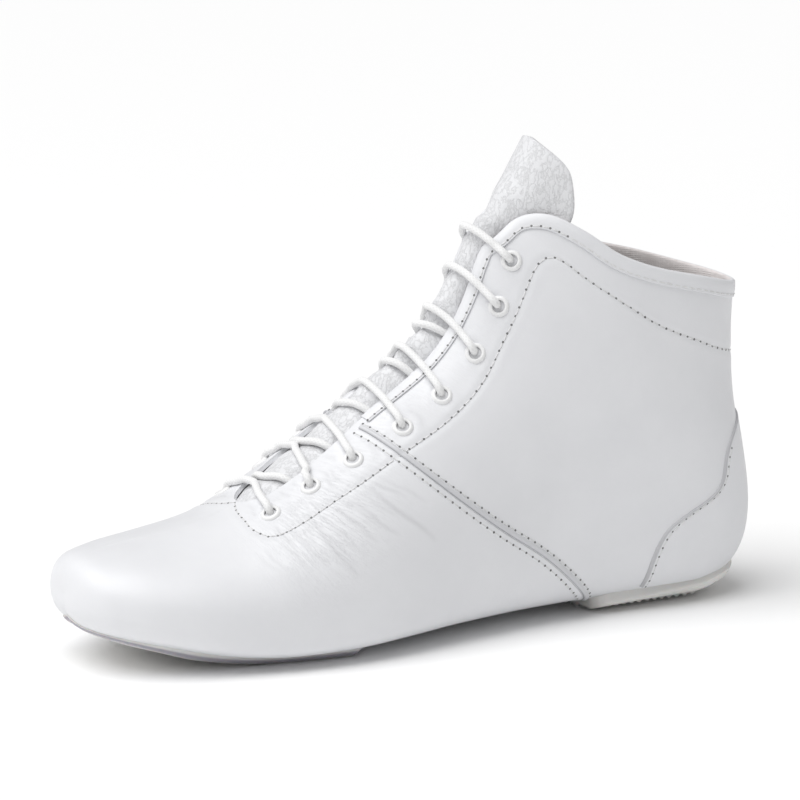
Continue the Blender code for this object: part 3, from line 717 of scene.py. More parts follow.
def make_cloth(name, dark, light):
    """Woven cloth: threads that go over and under."""
    look = Look(name, light, 0.85, 0.25)
    tint = look.ramp(look.noise(240.0, 5.0, 0.7), dark, light)
    look.give({"Base Color": tint, "Sheen Weight": 0.15})
    threads = []
    for axis in ("X", "Z"):
        wave = look.node("TexWave", {"Vector": look.place, "Scale": 420.0}, bands_direction=axis)
        threads.append(wave.outputs["Fac"])
    look.bump(look.reckon("MULTIPLY", *threads), 0.5, 0.2)
    look.bump(look.noise(900.0, 3.0), 0.4, 0.2)
    return look.material


def make_cotton():
    """A round braid: two sets of threads that cross, on the lace's own map."""
    look = Look("braided_white_cotton", grey(0.84), 0.8, 0.3)
    flat = look.node("TexCoord", {}).outputs["UV"]
    threads = []
    for turn in (1.0, -1.0):
        made = look.node("VectorMath", {0: flat, 1: (0.62, turn * 6.0, 0.0)}, operation="DOT_PRODUCT")
        angle = look.reckon("MULTIPLY", made.outputs["Value"], 2 * math.pi)
        threads.append(look.reckon("SINE", angle))
    braid = look.reckon("MAXIMUM", *threads)
    # Darker between the threads: painted shade.
    look.give({"Base Color": look.ramp(braid, grey(0.82), grey(0.88), (0.0, 0.55)), "Sheen Weight": 0.2})
    look.bump(braid, 0.20, 0.10)
    look.bump(look.noise(2200.0, 3.0), 0.35, 0.10)
    return look.material


def make_enamel():
    """Glossy white enamel, with painted shade in the bore."""
    look = Look("white_enamelled_brass", grey(0.86), 0.28)
    tint = look.ramp(look.noise(300.0), grey(0.84), grey(0.87))
    look.give({"Base Color": look.shaded(tint, look.attribute("shade"), grey(0.10))})
    look.gloss(500.0, 0.24, 0.36)
    look.bump(look.noise(700.0), 0.12, 0.06)
    return look.material


def make_thread():
    look = Look("white_thread", (0.74, 0.74, 0.75), 0.7, 0.3)
    look.give({"Base Color": look.ramp(look.noise(1800.0), grey(0.66), grey(0.80))})
    return look.material


def make_needle_hole_shade():
    # Dark discs in the needle holes: painted shade.
    look = Look("needle_hole", (0.20, 0.20, 0.21), 0.9, 0.1)
    look.give({"Base Color": look.ramp(look.noise(900.0), grey(0.13), grey(0.27))})
    return look.material


# Outlines in plan

def plan_edge(along, around, side):
    """The plan of a line on the form's underside, drawn in to a round end at the toe."""
    edge = on_form(along, around, side)[:, :2]
    centre = on_form(along, 0.0, side)[:, :2]
    share = np.clip((along - along[0]) / TIP_LENGTH, 0, 1)
    return centre + (edge - centre) * np.sqrt(1 - (1 - share) ** 2)[:, None]


def forefoot_outline():
    """The forefoot patch in plan: its edges follow the form, and its rear edge follows the table."""
    share = np.linspace(0, 1, 70) ** 1.6
    edges = []
    for side, _ in SIDES:
        along = FOREFOOT_START + (FOREFOOT_ENDS[side] - FOREFOOT_START) * share
        edges.append(plan_edge(along, FOREFOOT_AROUND, side))
    rear = smooth_line(np.vstack([edges[0][-1], FOREFOOT_REAR, edges[1][-1]]), 60)
    return np.vstack([edges[0], rear[1:-1], edges[1][:0:-1]])


def heel_outline():
    """A polygon whose corners are replaced by arcs."""
    outline = []
    for i, (x, y, radius) in enumerate(HEEL_CORNERS):
        corner = np.array([x, y])
        before = unit(np.array(HEEL_CORNERS[i - 1][:2]) - corner)
        after = unit(np.array(HEEL_CORNERS[(i + 1) % len(HEEL_CORNERS)][:2]) - corner)
        half = np.arccos(np.clip(before @ after, -1, 1)) / 2
        start = corner + before * radius / np.tan(half)
        end = corner + after * radius / np.tan(half)
        centre = corner + unit(before + after) * radius / np.sin(half)
        for t in np.linspace(0, 1, ARC_STEPS):
            outline.append(centre + unit((1 - t) * (start - centre) + t * (end - centre)) * radius)
    return np.array(outline)


def insole_outline():
    along = np.linspace(INSOLE_START, INSOLE_HEEL, 60)
    medial = plan_edge(along, INSOLE_AROUND, MEDIAL)
    lateral = plan_edge(along, INSOLE_AROUND, LATERAL)
    middle = (medial[-1] + lateral[-1]) / 2
    angle = np.linspace(0, np.pi, 31)[1:-1, None]
    heel = middle + (medial[-1] - middle) * np.cos(angle) + (INSOLE_BACK - middle[0], 0) * np.sin(angle)
    return np.vstack([medial, heel, lateral[:0:-1]])


def drawn_in(outline, margin):
    """An outline made smaller by a margin on each side of its length and of its width."""
    low = outline.min(axis=0)
    high = outline.max(axis=0)
    middle = (low + high) / 2
    return middle + (outline - middle) * (1 - 2 * margin / (high - low))


# The upper

ROWS = np.concatenate([
    np.linspace(0, 0.03, 14, endpoint=False),
    np.linspace(0.03, 0.22, 48, endpoint=False),
    np.linspace(0.22, 0.264, 22, endpoint=False),
    np.linspace(0.264, 0.43, 76, endpoint=False),
    np.linspace(0.43, 0.60, 50, endpoint=False),
    np.linspace(0.60, 1.0, 109),
])
THROAT_ROW = 14 + 48 + 22
RIM_FROM = 0.60
LINING_RELIEF = 0.6

# The fine lines of the vamp lean more towards the instep: length along and lean, then the distance from the
# ridge where they start to lean, and how far apart the two sides are in their pattern
BEND_LEAN = (94.0, 131.0), (0.30, 0.62)
BEND_RIDGE = 33.0
BEND_APART = 7.0
COLUMNS = 1 - (1 - np.linspace(0, 1, 111)) ** 1.2
SQUEEZE_FROM = 0.55


def throat_edge(along, side):
    """The around value of the upper's edge: the ridge in front of the throat, then the throat's edge."""
    half = np.interp(along, *smooth_line(THROAT, 240).T, left=0.0)
    return around_at(along, np.maximum(half, 0), side)


def rim_along(around, side):
    """Where along the collar's rim lies."""
    line = smooth_line(RIM, 300)
    low = np.full(len(around), RIM_FROM)
    high = np.full(len(around), 1.0)
    for _ in range(28):
        middle = (low + high) / 2
        points = form_at(middle, around, side)[0]
        under = points[:, 2] < np.interp(points[:, 0], line[:, 0], line[:, 1]) + RIM_TILT * points[:, 1]
        low = np.where(under, middle, low)
        high = np.where(under, high, middle)
    return low


def upper_places(side):
    """Along and around of each point of the upper's grid on one side, rows by columns from base to edge."""
    along = np.repeat(ROWS[:, None], len(COLUMNS), axis=1)
    around = np.zeros_like(along)
    for _ in range(4):
        edge = throat_edge(along, side)
        share = (COLUMNS[None, :] - SQUEEZE_FROM) / (1 - SQUEEZE_FROM)
        near_edge = SQUEEZE_FROM + share * (edge - SQUEEZE_FROM)
        around = np.where(COLUMNS[None, :] > SQUEEZE_FROM, near_edge, COLUMNS[None, :])
        rim = rim_along(around[-1], side)
        above = ROWS > RIM_FROM
        share = ((ROWS[above] - RIM_FROM) / (1 - RIM_FROM))[:, None]
        along[above] = RIM_FROM + share * (rim[None, :] - RIM_FROM)
    return along, around


def facing_line(side):
    """The facing's stitched line as along and distance from the ridge."""
    collar = np.stack([
        FACING_COLLAR[:, 0],
        (1 - FACING_COLLAR[:, 1]) * half_length(FACING_COLLAR[:, 0], side),
    ], axis=1)
    scaled = np.vstack([FACING, collar]) * (AXIS, 1)
    return smooth_line(scaled, 420) / (AXIS, 1)


def line_distance(a, r, line):
    """The distance of each point from a line in the leather's own plane."""
    best = np.full(a.shape, 1e9)
    for (a0, r0), (a1, r1) in zip(line[:-1], line[1:]):
        da = a1 - a0
        dr = r1 - r0
        t = np.clip(((a - a0) * da + (r - r0) * dr) / max(da * da + dr * dr, 1e-9), 0, 1)
        best = np.minimum(best, (a - a0 - t * da) ** 2 + (r - r0 - t * dr) ** 2)
    return np.sqrt(best)


def crease_field(a, r, side):
    """Heights of the flex creases, and how far each point lies in a trough."""
    height = np.zeros_like(a)
    trough = np.zeros_like(a)
    for number, (along_0, ridge_0, along_1, ridge_1, bow, depth, width) in enumerate(CREASES):
        shift = 0.9 * math.sin(2.7 * number) if side == LATERAL else 0.0
        t = np.linspace(0, 1, 9)
        line_a = (along_0 + (along_1 - along_0) * t + bow * np.sin(np.pi * t)) * AXIS + shift
        wave = 0.35 * np.sin(9 * t + number)
        line = np.stack([line_a + wave, ridge_0 + (ridge_1 - ridge_0) * t], axis=1)
        near = (np.abs(a - line_a.mean()) < 22) & (r > ridge_0 - 6) & (r < ridge_1 + 6)
        distance = line_distance(a[near], r[near], line)
        along_crease = np.clip((r[near] - ridge_0) / (ridge_1 - ridge_0), 0, 1)
        fade = np.sin(np.pi * (0.08 + 0.84 * along_crease)) ** 0.7
        groove = hump(distance, 0.0, 0.75 * width) * fade
        shoulder = hump(distance, 1.7 * width, width) * fade
        height[near] += CREASE_SHARE * depth * (0.45 * shoulder - groove)
        trough[near] = np.maximum(trough[near], groove * depth)
    return height, trough


def relief(along, around, side):
    """Height of the leather over the plain form, how deep in a crease it is, and how much it flexes."""
    a = along * AXIS
    r = (1 - around) * half_length(along, side)
    height = BROAD_WAVES * np.sin(a / 13 + r / 29 + side) * np.sin(r / 15 - a / 37)
    height += FINE_WAVES * np.sin(a / 6.1 - r / 11.3) * np.sin(r / 7.9 + a / 17)
    height *= np.clip(along / 0.05, 0, 1)
    creases, trough = crease_field(a, r, side)
    height += creases
    line = facing_line(side)[::3] * (AXIS, 1)
    from_facing = line_distance(a, r, line)
    for lift, middle, width in FACING_RELIEF:
        height += lift * hump(from_facing, middle, width)
    for eyelet_along, eyelet_ridge in EYELETS:
        reach = np.hypot(a - eyelet_along * AXIS, r - eyelet_ridge)
        height -= EYELET_DENT * np.exp(-(reach / EYELET_DENT_REACH) ** 4)
        height += EYELET_SWELL * hump(reach, 6.0, 1.8)
    bend = hump(along, FLEX_MIDDLE, FLEX_WIDTH) * np.clip((r - 12) / 14, 0, 1) * np.clip((68 - r) / 24, 0, 1)
    facing = np.clip(1.4 - np.abs(r - 20) / 10, 0, 1)
    facing = facing * np.interp(along, *FACING_FLEX)
    flex = np.clip(np.maximum(bend, facing), 0, 1)
    return height, np.clip(trough / DEEPEST_CREASE, 0, 1), flex


def upper_sheet(stride, offset, share):
    """One face of the upper with a share of its relief, as a grid from the medial edge to the lateral one."""
    sheets = []
    for side, _ in SIDES:
        along, around = upper_places(side)
        along = along[::stride, ::stride]
        around = around[::stride, ::stride]
        height, trough, flex = relief(along, around, side)
        points = on_form(along, around, side, offset + share * height)
        from_ridge = -side * (1 - around) * half_length(along, side)
        sheets.append((points, trough, flex, np.stack([along * AXIS, from_ridge], axis=2)))
    medial, lateral = sheets
    return [np.concatenate([m[:, ::-1], o[:, 1:]], axis=1) for m, o in zip(medial, lateral)]


def sheet_indices(rows, columns, throat_row, first):
    """Point numbers of a sheet: one for the toe's tip, and one for both edges in front of the throat."""
    numbers = first + np.arange(rows * columns).reshape(rows, columns)
    numbers[:throat_row + 1, -1] = numbers[:throat_row + 1, 0]
    numbers[0, :] = numbers[0, 0]
    return numbers


def sheet_faces(numbers):
    corners = (numbers[:-1, :-1], numbers[:-1, 1:], numbers[1:, 1:], numbers[1:, :-1])
    quads = np.stack(corners, axis=-1).reshape(-1, 4).tolist()
    return [list(dict.fromkeys(quad)) for quad in quads]


def edge_loop(numbers, throat_row):
    """The open edge of a sheet: up the medial throat edge, round the rim, and down the lateral edge."""
    up = numbers[throat_row:-1, 0]
    rim = numbers[-1, :]
    down = numbers[-2:throat_row:-1, -1]
    return np.concatenate([up, rim, down])


def compact(points, faces, *others):
    """Drops the points that no face uses."""
    used = np.unique(np.concatenate([np.asarray(face) for face in faces]))
    renumber = np.zeros(len(points), int)
    renumber[used] = np.arange(len(used))
    faces = [renumber[face].tolist() for face in faces]
    return points[used], faces, [other[used] for other in others]


def prism(outline, low, high):
    """A prism over an outline in plan."""
    points = [(x, y, z) for z in (low, high) for x, y in outline]
    return np.array(points), capped(2, len(outline))


def eyelet_frames():
    """For each eyelet: its side's word, number, place and normal."""
    for side, word in SIDES:
        for number, (along, from_ridge) in enumerate(EYELETS, start=1):
            point, normal = form_at(along, around_at(along, from_ridge, side), side)
            yield word, number, point, normal


# The cuts in the upper: reach of a hole's cut out and in, its clearance, and the levels of the sole's cuts
CUT_REACH = 4.0
CUT_CLEARANCE = 0.15
CUT_LEVELS = (-5.0, 12.0)


def upper_cutter():
    """The eyelet holes and the two openings under the sole, as one closed mesh."""
    pile = Pile()
    for _, _, point, normal in eyelet_frames():
        path = point + normal * np.array([[-CUT_REACH], [CUT_REACH]])
        points, faces, _ = tube(path, EYELET_BARREL + CUT_CLEARANCE, 20, up=(1.0, 0.2, 0.1))
        pile.add(points, outward(points, faces))
    for outline in (forefoot_outline(), heel_outline()):
        points, faces = prism(drawn_in(outline, LASTING_MARGIN)[::3], *CUT_LEVELS)
        pile.add(points, outward(points, faces))
    return pile.mesh()


def make_upper(leather, lining):
    """Outer leather and lining as one closed shell, with holes for the eyelets and over the outsoles."""
    outer, trough, flex, outer_map = upper_sheet(1, 0.0, 1.0)
    inner, _, _, inner_map = upper_sheet(2, -WALL, LINING_RELIEF)
    numbers = sheet_indices(outer.shape[0], outer.shape[1], THROAT_ROW, 0)
    inner_numbers = sheet_indices(inner.shape[0], inner.shape[1], THROAT_ROW // 2, numbers.size)
    outer_faces = sheet_faces(numbers)
    lining_faces = [face[::-1] for face in sheet_faces(inner_numbers)]
    loop = edge_loop(numbers, THROAT_ROW)
    inner_loop = edge_loop(inner_numbers, THROAT_ROW // 2)
    count = len(inner_loop)
    strip = []
    for k in range(count):
        a, b, c = loop[2 * k], loop[2 * k + 1], loop[(2 * k + 2) % len(loop)]
        p, q = inner_loop[k], inner_loop[(k + 1) % count]
        strip += [[a, p, b], [b, p, q], [b, q, c]]
    tree = BVHTree.FromPolygons(outer.reshape(-1, 3).tolist(), outer_faces)
    points = np.concatenate([outer.reshape(-1, 3), inner.reshape(-1, 3)])
    flat = np.concatenate([outer_map.reshape(-1, 2), inner_map.reshape(-1, 2)])
    plain = np.zeros(inner_numbers.size)
    trough = np.concatenate([trough.ravel(), plain])
    flex = np.concatenate([flex.ravel(), plain])
    points, faces, (trough, flex, flat) = compact(
        points, outer_faces + strip + lining_faces, trough, flex, flat
    )
    faces = outward(points, faces)
    upper = new_object("upper_leather", points, faces, (leather, lining), flat)
    slots = np.zeros(len(faces), np.int32)
    slots[-len(lining_faces):] = 1
    upper.data.polygons.foreach_set("material_index", slots)
    # Painted shade in the creases' troughs, for the leather to darken them.
    set_values(upper, "crease", CREASE_PAINTED_SHADE * trough)
    set_values(upper, "flex", flex)
    from_ridge = np.abs(flat[:, 1])
    lean = np.interp(flat[:, 0], *BEND_LEAN)
    across = flat[:, 0] - lean * (from_ridge - BEND_RIDGE)
    bend = np.stack([across, from_ridge, BEND_APART * np.sign(flat[:, 1])], axis=1)
    made = upper.data.attributes.new("bend", "FLOAT_VECTOR", "POINT")
    made.data.foreach_set("vector", bend.astype(np.float32).ravel())
    cut_points, cut_faces = upper_cutter()
    cutter = new_object("upper_cutter", cut_points, cut_faces, (lining,))
    modifier = upper.modifiers.new("holes", "BOOLEAN")
    modifier.object = cutter
    modifier.operation = "DIFFERENCE"
    modifier.solver = "MANIFOLD"
    bpy.context.view_layer.update()
    evaluated = upper.evaluated_get(bpy.context.evaluated_depsgraph_get())
    cut = bpy.data.meshes.new_from_object(evaluated)
    upper.modifiers.clear()
    upper.data = cut
    bpy.data.objects.remove(cutter)
    dress(upper, "white_leather", "upper")
    return tree


# Pieces that lie on the leather

REACH = 7.0


def lay(points, normals):
    """Points moved along their normals onto the leather, and the leather's normals there."""
    laid = np.array(points, float)
    facing = np.array(normals, float)
    flat_points = laid.reshape(-1, 3)
    flat_normals = facing.reshape(-1, 3)
    for i in range(len(flat_points)):
        start = Vector(flat_points[i] + REACH * flat_normals[i])
        hit, normal, _, _ = TREE.ray_cast(start, Vector(-flat_normals[i]), 2 * REACH)
        if hit is None:
            hit, normal, _, _ = TREE.find_nearest(Vector(flat_points[i]))
        flat_points[i] = hit
        if np.dot(normal, flat_normals[i]) < 0:
            normal = -normal
        flat_normals[i] = normal
    return laid, facing


def smooth_along(values, passes):
    """Evens out a row of vectors, its ends kept."""
    values = np.array(values, float)
    for _ in range(passes):
        values[1:-1] = (values[:-2] + 2 * values[1:-1] + values[2:]) / 4
    return values


def strip_piece(path, normals, profile):
    """A closed strip along a path on the leather; the profile gives distances across and heights."""
    ahead = unit(np.gradient(path, axis=0))
    beside = smooth_along(unit(np.cross(normals, ahead)), 6)
    rings = []
    for across, height in profile:
        laid, facing = lay(path + across * beside, normals)
        facing = unit(smooth_along(facing, 3))
        rings.append(laid + facing * height)
    return closed_strip(np.stack(rings, axis=1))


def closed_strip(rings):
    """Points and faces of a bar whose closed cross-sections are given one per row."""
    points = rings.reshape(-1, 3)
    return points, outward(points, capped(*rings.shape[:2]))


def spokes_round(normal, guide, count):
    """Even spokes at right angles to a normal, the first of them set by a guide."""
    across = unit(np.cross(normal, guide))
    angle = np.linspace(0, 2 * np.pi, count, endpoint=False)[:, None]
    return across * np.cos(angle) + np.cross(normal, across) * np.sin(angle)


# One stitch: share of the way along it, height over the leather, and radius
STITCH = np.array([
    (0.10, -0.22, 0.14), (0.22, 0.05, 0.20), (0.5, 0.13, 0.23), (0.78, 0.05, 0.20), (0.90, -0.22, 0.14),
])
STITCH_SIDES = 6
HOLE_RADIUS = 0.44
HOLE_SIDES = 8
HOLE_FOOT = -0.15
HOLE_RIM = 0.05
HOLE_GUIDE = (0.31, 0.52, 0.8)


def stitch_row(path, normals, lift=0.0, holes=True):
    """Stitches along a path on the leather, and dark discs of painted shade in the needle holes between them.
    """
    knots = even_line(path, STITCH_PITCH, np.concatenate([path, normals], axis=1))
    laid, facing = lay(knots[:, :3], unit(knots[:, 3:]))
    laid = laid + facing * lift
    share, height, radius = STITCH.T
    t = share[:, None]
    for i in range(len(laid) - 1):
        up = unit(facing[i] + facing[i + 1])
        line = laid[i] * (1 - t) + laid[i + 1] * t + up * height[:, None]
        points, faces, _ = tube(line, radius, STITCH_SIDES, up=up)
        THREADS.add(points, faces)
    if not holes:
        return
    for point, normal in zip(laid, facing):
        ring = point + HOLE_RADIUS * spokes_round(normal, HOLE_GUIDE, HOLE_SIDES)
        HOLES.add(np.vstack([ring + normal * HOLE_FOOT, ring + normal * HOLE_RIM]), capped(2, HOLE_SIDES))


def sewn_strip(name, path, normals, profile, leather, *nodes):
    """A strip on the leather that keeps the grey of its profile, which is painted shade."""
    points, faces = strip_piece(path, normals, profile[:, :2])
    strip = new_object(name, points, faces, (leather,))
    set_values(strip, "shade", np.tile(profile[:, 2], len(path)))
    dress(strip, "white_leather", *nodes)


def seam_line(side):
    around = np.linspace(SEAM[0, 0], SEAM[-1, 0], 150)
    order = np.argsort(SEAM[:, 0])
    along = read_table(SEAM[order], around)[:, 0]
    return form_at(along, around, side)


# Across the seam: distance from the groove, height, and how grey it is, as painted shade in the groove and on
# the raised band beside it
SEAM_PROFILE = np.array([
    (-2.95, -0.20, 0.0), (-2.85, 0.10, 0.0), (-2.60, 0.20, 0.0), (-2.10, 0.22, 0.0), (-1.30, 0.28, 0.0),
    (-0.60, 0.32, 0.0), (-0.30, 0.26, 0.2), (-0.15, -0.02, 0.8), (0.05, -0.05, 0.9), (0.18, 0.30, 0.6),
    (0.38, 0.62, 0.34), (0.85, 0.80, 0.28), (1.35, 0.78, 0.28), (1.72, 0.58, 0.25), (1.95, 0.34, 0.12),
    (2.20, 0.26, 0.0), (2.60, 0.22, 0.0), (2.85, 0.10, 0.0), (2.95, -0.20, 0.0),
])
SEAM_STITCHES = (-2.2, 2.5)
SEAM_STITCH_LIFT = 0.22

# The closed seam under the arch in plan, and across it as above, its grey being painted shade in the groove
ARCH_SEAM = np.array([(-2.0, 21.0), (14.0, 15.0), (34.0, 6.5), (53.0, 1.5)])
ARCH_PROFILE = np.array([
    (-1.1, -0.15, 0.0), (-0.9, 0.08, 0.0), (-0.4, 0.16, 0.0), (-0.14, 0.06, 0.5), (0.0, -0.08, 0.9),
    (0.14, 0.06, 0.5), (0.4, 0.16, 0.0), (0.9, 0.08, 0.0), (1.1, -0.15, 0.0),
])


def make_seams(leather):
    """Raised seams with a groove in the middle and a stitched row on each side."""
    for side, word in SIDES:
        path, normals = seam_line(side)
        profile = SEAM_PROFILE if side == MEDIAL else SEAM_PROFILE[::-1] * (-1, 1, 1)
        sewn_strip(f"seam_{word}", path, normals, profile, leather, f"side_seam_{word}")
        beside = unit(np.cross(normals, unit(np.gradient(path, axis=0))))
        for across in SEAM_STITCHES:
            stitch_row(path - side * across * beside, normals, lift=SEAM_STITCH_LIFT)


def sole_point(x, y):
    """The place on the leather's underside over a point in plan, and its normal."""
    hit, normal, _, _ = TREE.ray_cast(Vector((x, y, -60.0)), Vector((0, 0, 1)))
    if hit is None:
        hit, normal, _, _ = TREE.find_nearest(Vector((x, y, 10.0)))
    return np.array(hit), np.array(normal if normal.z < 0 else -normal)


def on_sole(plan):
    points, normals = zip(*[sole_point(x, y) for x, y in plan])
    return np.array(points), np.array(normals)


def make_arch_seam(leather):
    """The closed seam under the arch, from the forefoot patch to where the side seams meet."""
    path, normals = on_sole(smooth_line(ARCH_SEAM, 60))
    sewn_strip("arch_seam", path, normals, ARCH_PROFILE, leather)


# The binding's outer leg: share of its width, height over the leather, and how grey it is, as painted shade
# along
# its lower edge. Then its inner leg: share of its width, and how far it rises towards the lining. Its width
# goes by x.
BINDING_OUTER = (
    (0.97, -0.12, 0.5), (0.995, 0.10, 0.6), (1.0, 0.36, 0.35), (0.985, 0.56, 0.1), (0.94, 0.66, 0.0),
    (0.85, 0.62, 0.0), (0.76, 0.58, 0.0), (0.62, 0.66, 0.0), (0.46, 0.70, 0.0), (0.3, 0.68, 0.0),
)
BINDING_INNER = ((0.35, 0.0), (0.6, 0.0), (0.9, 0.0), (1.0, 0.35), (1.02, 0.75))
BINDING_WIDTH = (20.0, 45.0, 125.0), (4.0, 4.4, 5.2)
BINDING_STITCHES = 0.80
THROAT_STITCH_LIFT = 0.58
COLLAR_STITCH_LIFT = 0.56
PUCKER = 0.07
BINDING_STEP = 1.0
FOLD_STEPS = 9
COLLAR_FROM = 52.0


def edge_path():
    """The bound edge: up the medial throat edge, round the rim, and down the lateral throat edge."""
    parts = []
    for side, _ in SIDES:
        along, around = upper_places(side)
        start = int(np.searchsorted(ROWS, BINDING_START))
        throat = form_at(along[start:, -1], around[start:, -1], side)
        rim = form_at(along[-1, ::-1], around[-1, ::-1], side)
        parts.append([np.vstack([throat[k][:-1], rim[k]]) for k in range(2)])
    medial, lateral = parts
    points = np.vstack([medial[0], lateral[0][-2::-1]])
    normals = np.vstack([medial[1], lateral[1][-2::-1]])
    even = even_line(points, BINDING_STEP, np.concatenate([points, normals], axis=1))
    return smooth_along(even[:, :3], 6), unit(smooth_along(even[:, 3:], 10))


def make_binding(leather, nap):
    """A strip folded over the edge, its outer leg stepped up from the leather and its inner leg napped."""
    path, normals = edge_path()
    ahead = unit(np.gradient(path, axis=0))
    inward = unit(smooth_along(np.cross(normals, ahead), 14))
    if np.dot(inward[len(inward) // 2], (0, 0, -1)) < 0:
        inward = -inward
    width = np.interp(path[:, 0], *BINDING_WIDTH)[:, None]
    pucker = 0.5 + 0.5 * np.cos(2 * np.pi * run_along(path) / STITCH_PITCH)
    rings = []
    shades = []
    for share, height, shade in BINDING_OUTER:
        laid, facing = lay(path + inward * width * share, normals)
        dip = PUCKER * pucker if 0.7 < share < 0.9 else 0.0
        rings.append(laid + facing * np.broadcast_to(height - dip, (len(path),))[:, None])
        shades.append(shade)
    radius = WALL / 2 + BINDING_LEATHER
    for angle in np.linspace(0.5, np.pi - 0.35, FOLD_STEPS):
        out = np.cos(angle) * radius - WALL / 2
        over = -np.sin(angle) * radius * 1.05 + 0.35
        rings.append(path + normals * out + inward * over)
        shades.append(0.0)
    for share, lift in BINDING_INNER:
        rings.append(path + inward * width * share + normals * (lift - WALL - BINDING_LEATHER))
        shades.append(0.0)
    columns = len(rings)
    points, faces = closed_strip(np.stack(rings, axis=1))
    binding = new_object("edge_binding", points, faces, (leather, nap))
    # Painted shade along the outer leg's lower edge.
    set_values(binding, "shade", np.tile(shades, len(path)))
    first_inside = len(BINDING_OUTER) + FOLD_STEPS // 2 + 1
    inside = np.array([min(np.array(face) % columns) >= first_inside for face in faces])
    binding.data.polygons.foreach_set("material_index", inside.astype(np.int32))
    dress(binding, "white_leather", "collar_binding")
    stitches = path + inward * width * BINDING_STITCHES
    first, last = np.flatnonzero(path[:, 0] > COLLAR_FROM)[[0, -1]]
    stitch_row(stitches[:first], normals[:first], lift=THROAT_STITCH_LIFT)
    stitch_row(stitches[first:last], normals[first:last], lift=COLLAR_STITCH_LIFT, holes=False)
    stitch_row(stitches[last:], normals[last:], lift=THROAT_STITCH_LIFT)


# The heel's upright axis in plan, and the counter: its leather, the width of its rolled edge, the groove of
# its stitches as depth, distance from the edge and width, how grey its edge is, and where its stitches lie
HEEL_AXIS = (88.0, 1.0)
OUTSIDE = 120.0
COUNTER_LEATHER = 0.80
COUNTER_ROLL = 0.9
COUNTER_GROOVE = 0.16
COUNTER_GROOVE_AT = (2.2, 0.6)
COUNTER_GREY = 0.55
COUNTER_STITCHES = 2.4
COUNTER_STITCHES_TOP = 56.0
COUNTER_STITCH_LIFT = 0.62


def counter_rays(level, angle):
    """Points and normals of the leather straight out from the heel's upright axis."""
    points = np.zeros(level.shape + (3,))
    normals = np.zeros_like(points)
    for index in np.ndindex(level.shape):
        out = Vector((math.cos(angle[index]), math.sin(angle[index]), 0.0))
        start = Vector((*HEEL_AXIS, level[index])) + out * OUTSIDE
        hit, normal, _, _ = TREE.ray_cast(start, -out)
        points[index] = hit
        normals[index] = normal if normal.dot(out) > 0 else -normal
    return points, normals


def edge_angles(line, side):
    """The angle round the heel's axis at which the leather reaches each point of an edge in the side view."""
    angle = side * np.linspace(0.0, 2.35, 160)
    found = []
    for x, z in line:
        points, _ = counter_rays(np.full(len(angle), z), angle)
        found.append(np.interp(-x, -points[:, 0], np.abs(angle)))
    return np.array(found)


def make_counter(leather):
    """The leather piece over the heel, its edge rolled and stitched."""
    line = smooth_line(COUNTER_EDGE, 90)
    share = np.concatenate([np.linspace(0, 0.90, 34), [0.925, 0.945, 0.96, 0.972, 0.982, 0.991, 1.0]])
    halves = []
    for side, _ in SIDES:
        edge = edge_angles(line, side)
        edge[0] = 0.0
        back = np.linspace(line[0, 1], line[-1, 1], len(line))
        angle = side * edge[:, None] * share[None, :]
        level = back[:, None] + (line[:, 1] - back)[:, None] * share[None, :] ** 1.5
        points, normals = counter_rays(level, angle)
        halves.append((points, normals))
    medial, lateral = halves
    points = np.concatenate([medial[0][:, ::-1], lateral[0][:, 1:]], axis=1)
    normals = np.concatenate([medial[1][:, ::-1], lateral[1][:, 1:]], axis=1)
    rows, columns = points.shape[:2]
    edge_run = np.minimum(
        np.linalg.norm(points - points[:, :1], axis=2), np.linalg.norm(points - points[:, -1:], axis=2)
    )
    rise = np.clip(edge_run / COUNTER_ROLL, 0, 1)
    height = COUNTER_LEATHER * rise * (2 - rise) - COUNTER_GROOVE * hump(edge_run, *COUNTER_GROOVE_AT)
    shade = COUNTER_GREY * np.clip((1.5 - edge_run) / 0.35, 0, 1)
    top = points + normals * (height - 0.04)[..., None]
    bottom = points - normals * 0.25
    numbers = np.arange(rows * columns).reshape(rows, columns)
    under = numbers + rows * columns
    faces = sheet_faces(numbers) + [face[::-1] for face in sheet_faces(under)]
    rim = np.concatenate([numbers[0, :-1], numbers[:-1, -1], numbers[-1, :0:-1], numbers[:0:-1, 0]])
    for first, second in zip(rim, np.roll(rim, -1)):
        faces.append([second, first, first + rows * columns, second + rows * columns])
    both = np.vstack([top.reshape(-1, 3), bottom.reshape(-1, 3)])
    counter = new_object("counter_leather", both, outward(both, faces), (leather,))
    set_values(counter, "shade", np.tile(shade.ravel(), 2))
    dress(counter, "white_leather", "heel_counter")
    for points, normals in halves:
        inset = []
        for row, facing in zip(points, normals):
            distance = np.linalg.norm(row - row[-1], axis=1)
            both = np.concatenate([row, facing], axis=1)
            inset.append(rows_between(-COUNTER_STITCHES, -distance, both))
        inset = np.array(inset)
        inset = inset[inset[:, 2] < COUNTER_STITCHES_TOP]
        stitch_row(inset[:, :3], unit(inset[:, 3:]), lift=COUNTER_STITCH_LIFT)


def make_facing_stitches():
    for side, _ in SIDES:
        line = facing_line(side)
        around = around_at(line[:, 0], line[:, 1], side)
        path, normals = form_at(line[:, 0], np.clip(around, 0, 1), side)
        stitch_row(path, normals)


BACK_SEAM = (0.775, 0.868)
BACK_SEAM_HALF = 2.0


def make_back_seam():
    """Two stitched rows beside the seam at the back, above the counter."""
    along = np.linspace(*BACK_SEAM, 40)
    for side, _ in SIDES:
        around = BACK_SEAM_HALF / half_length(along, side)
        path, normals = form_at(along, around, side)
        stitch_row(path, normals)


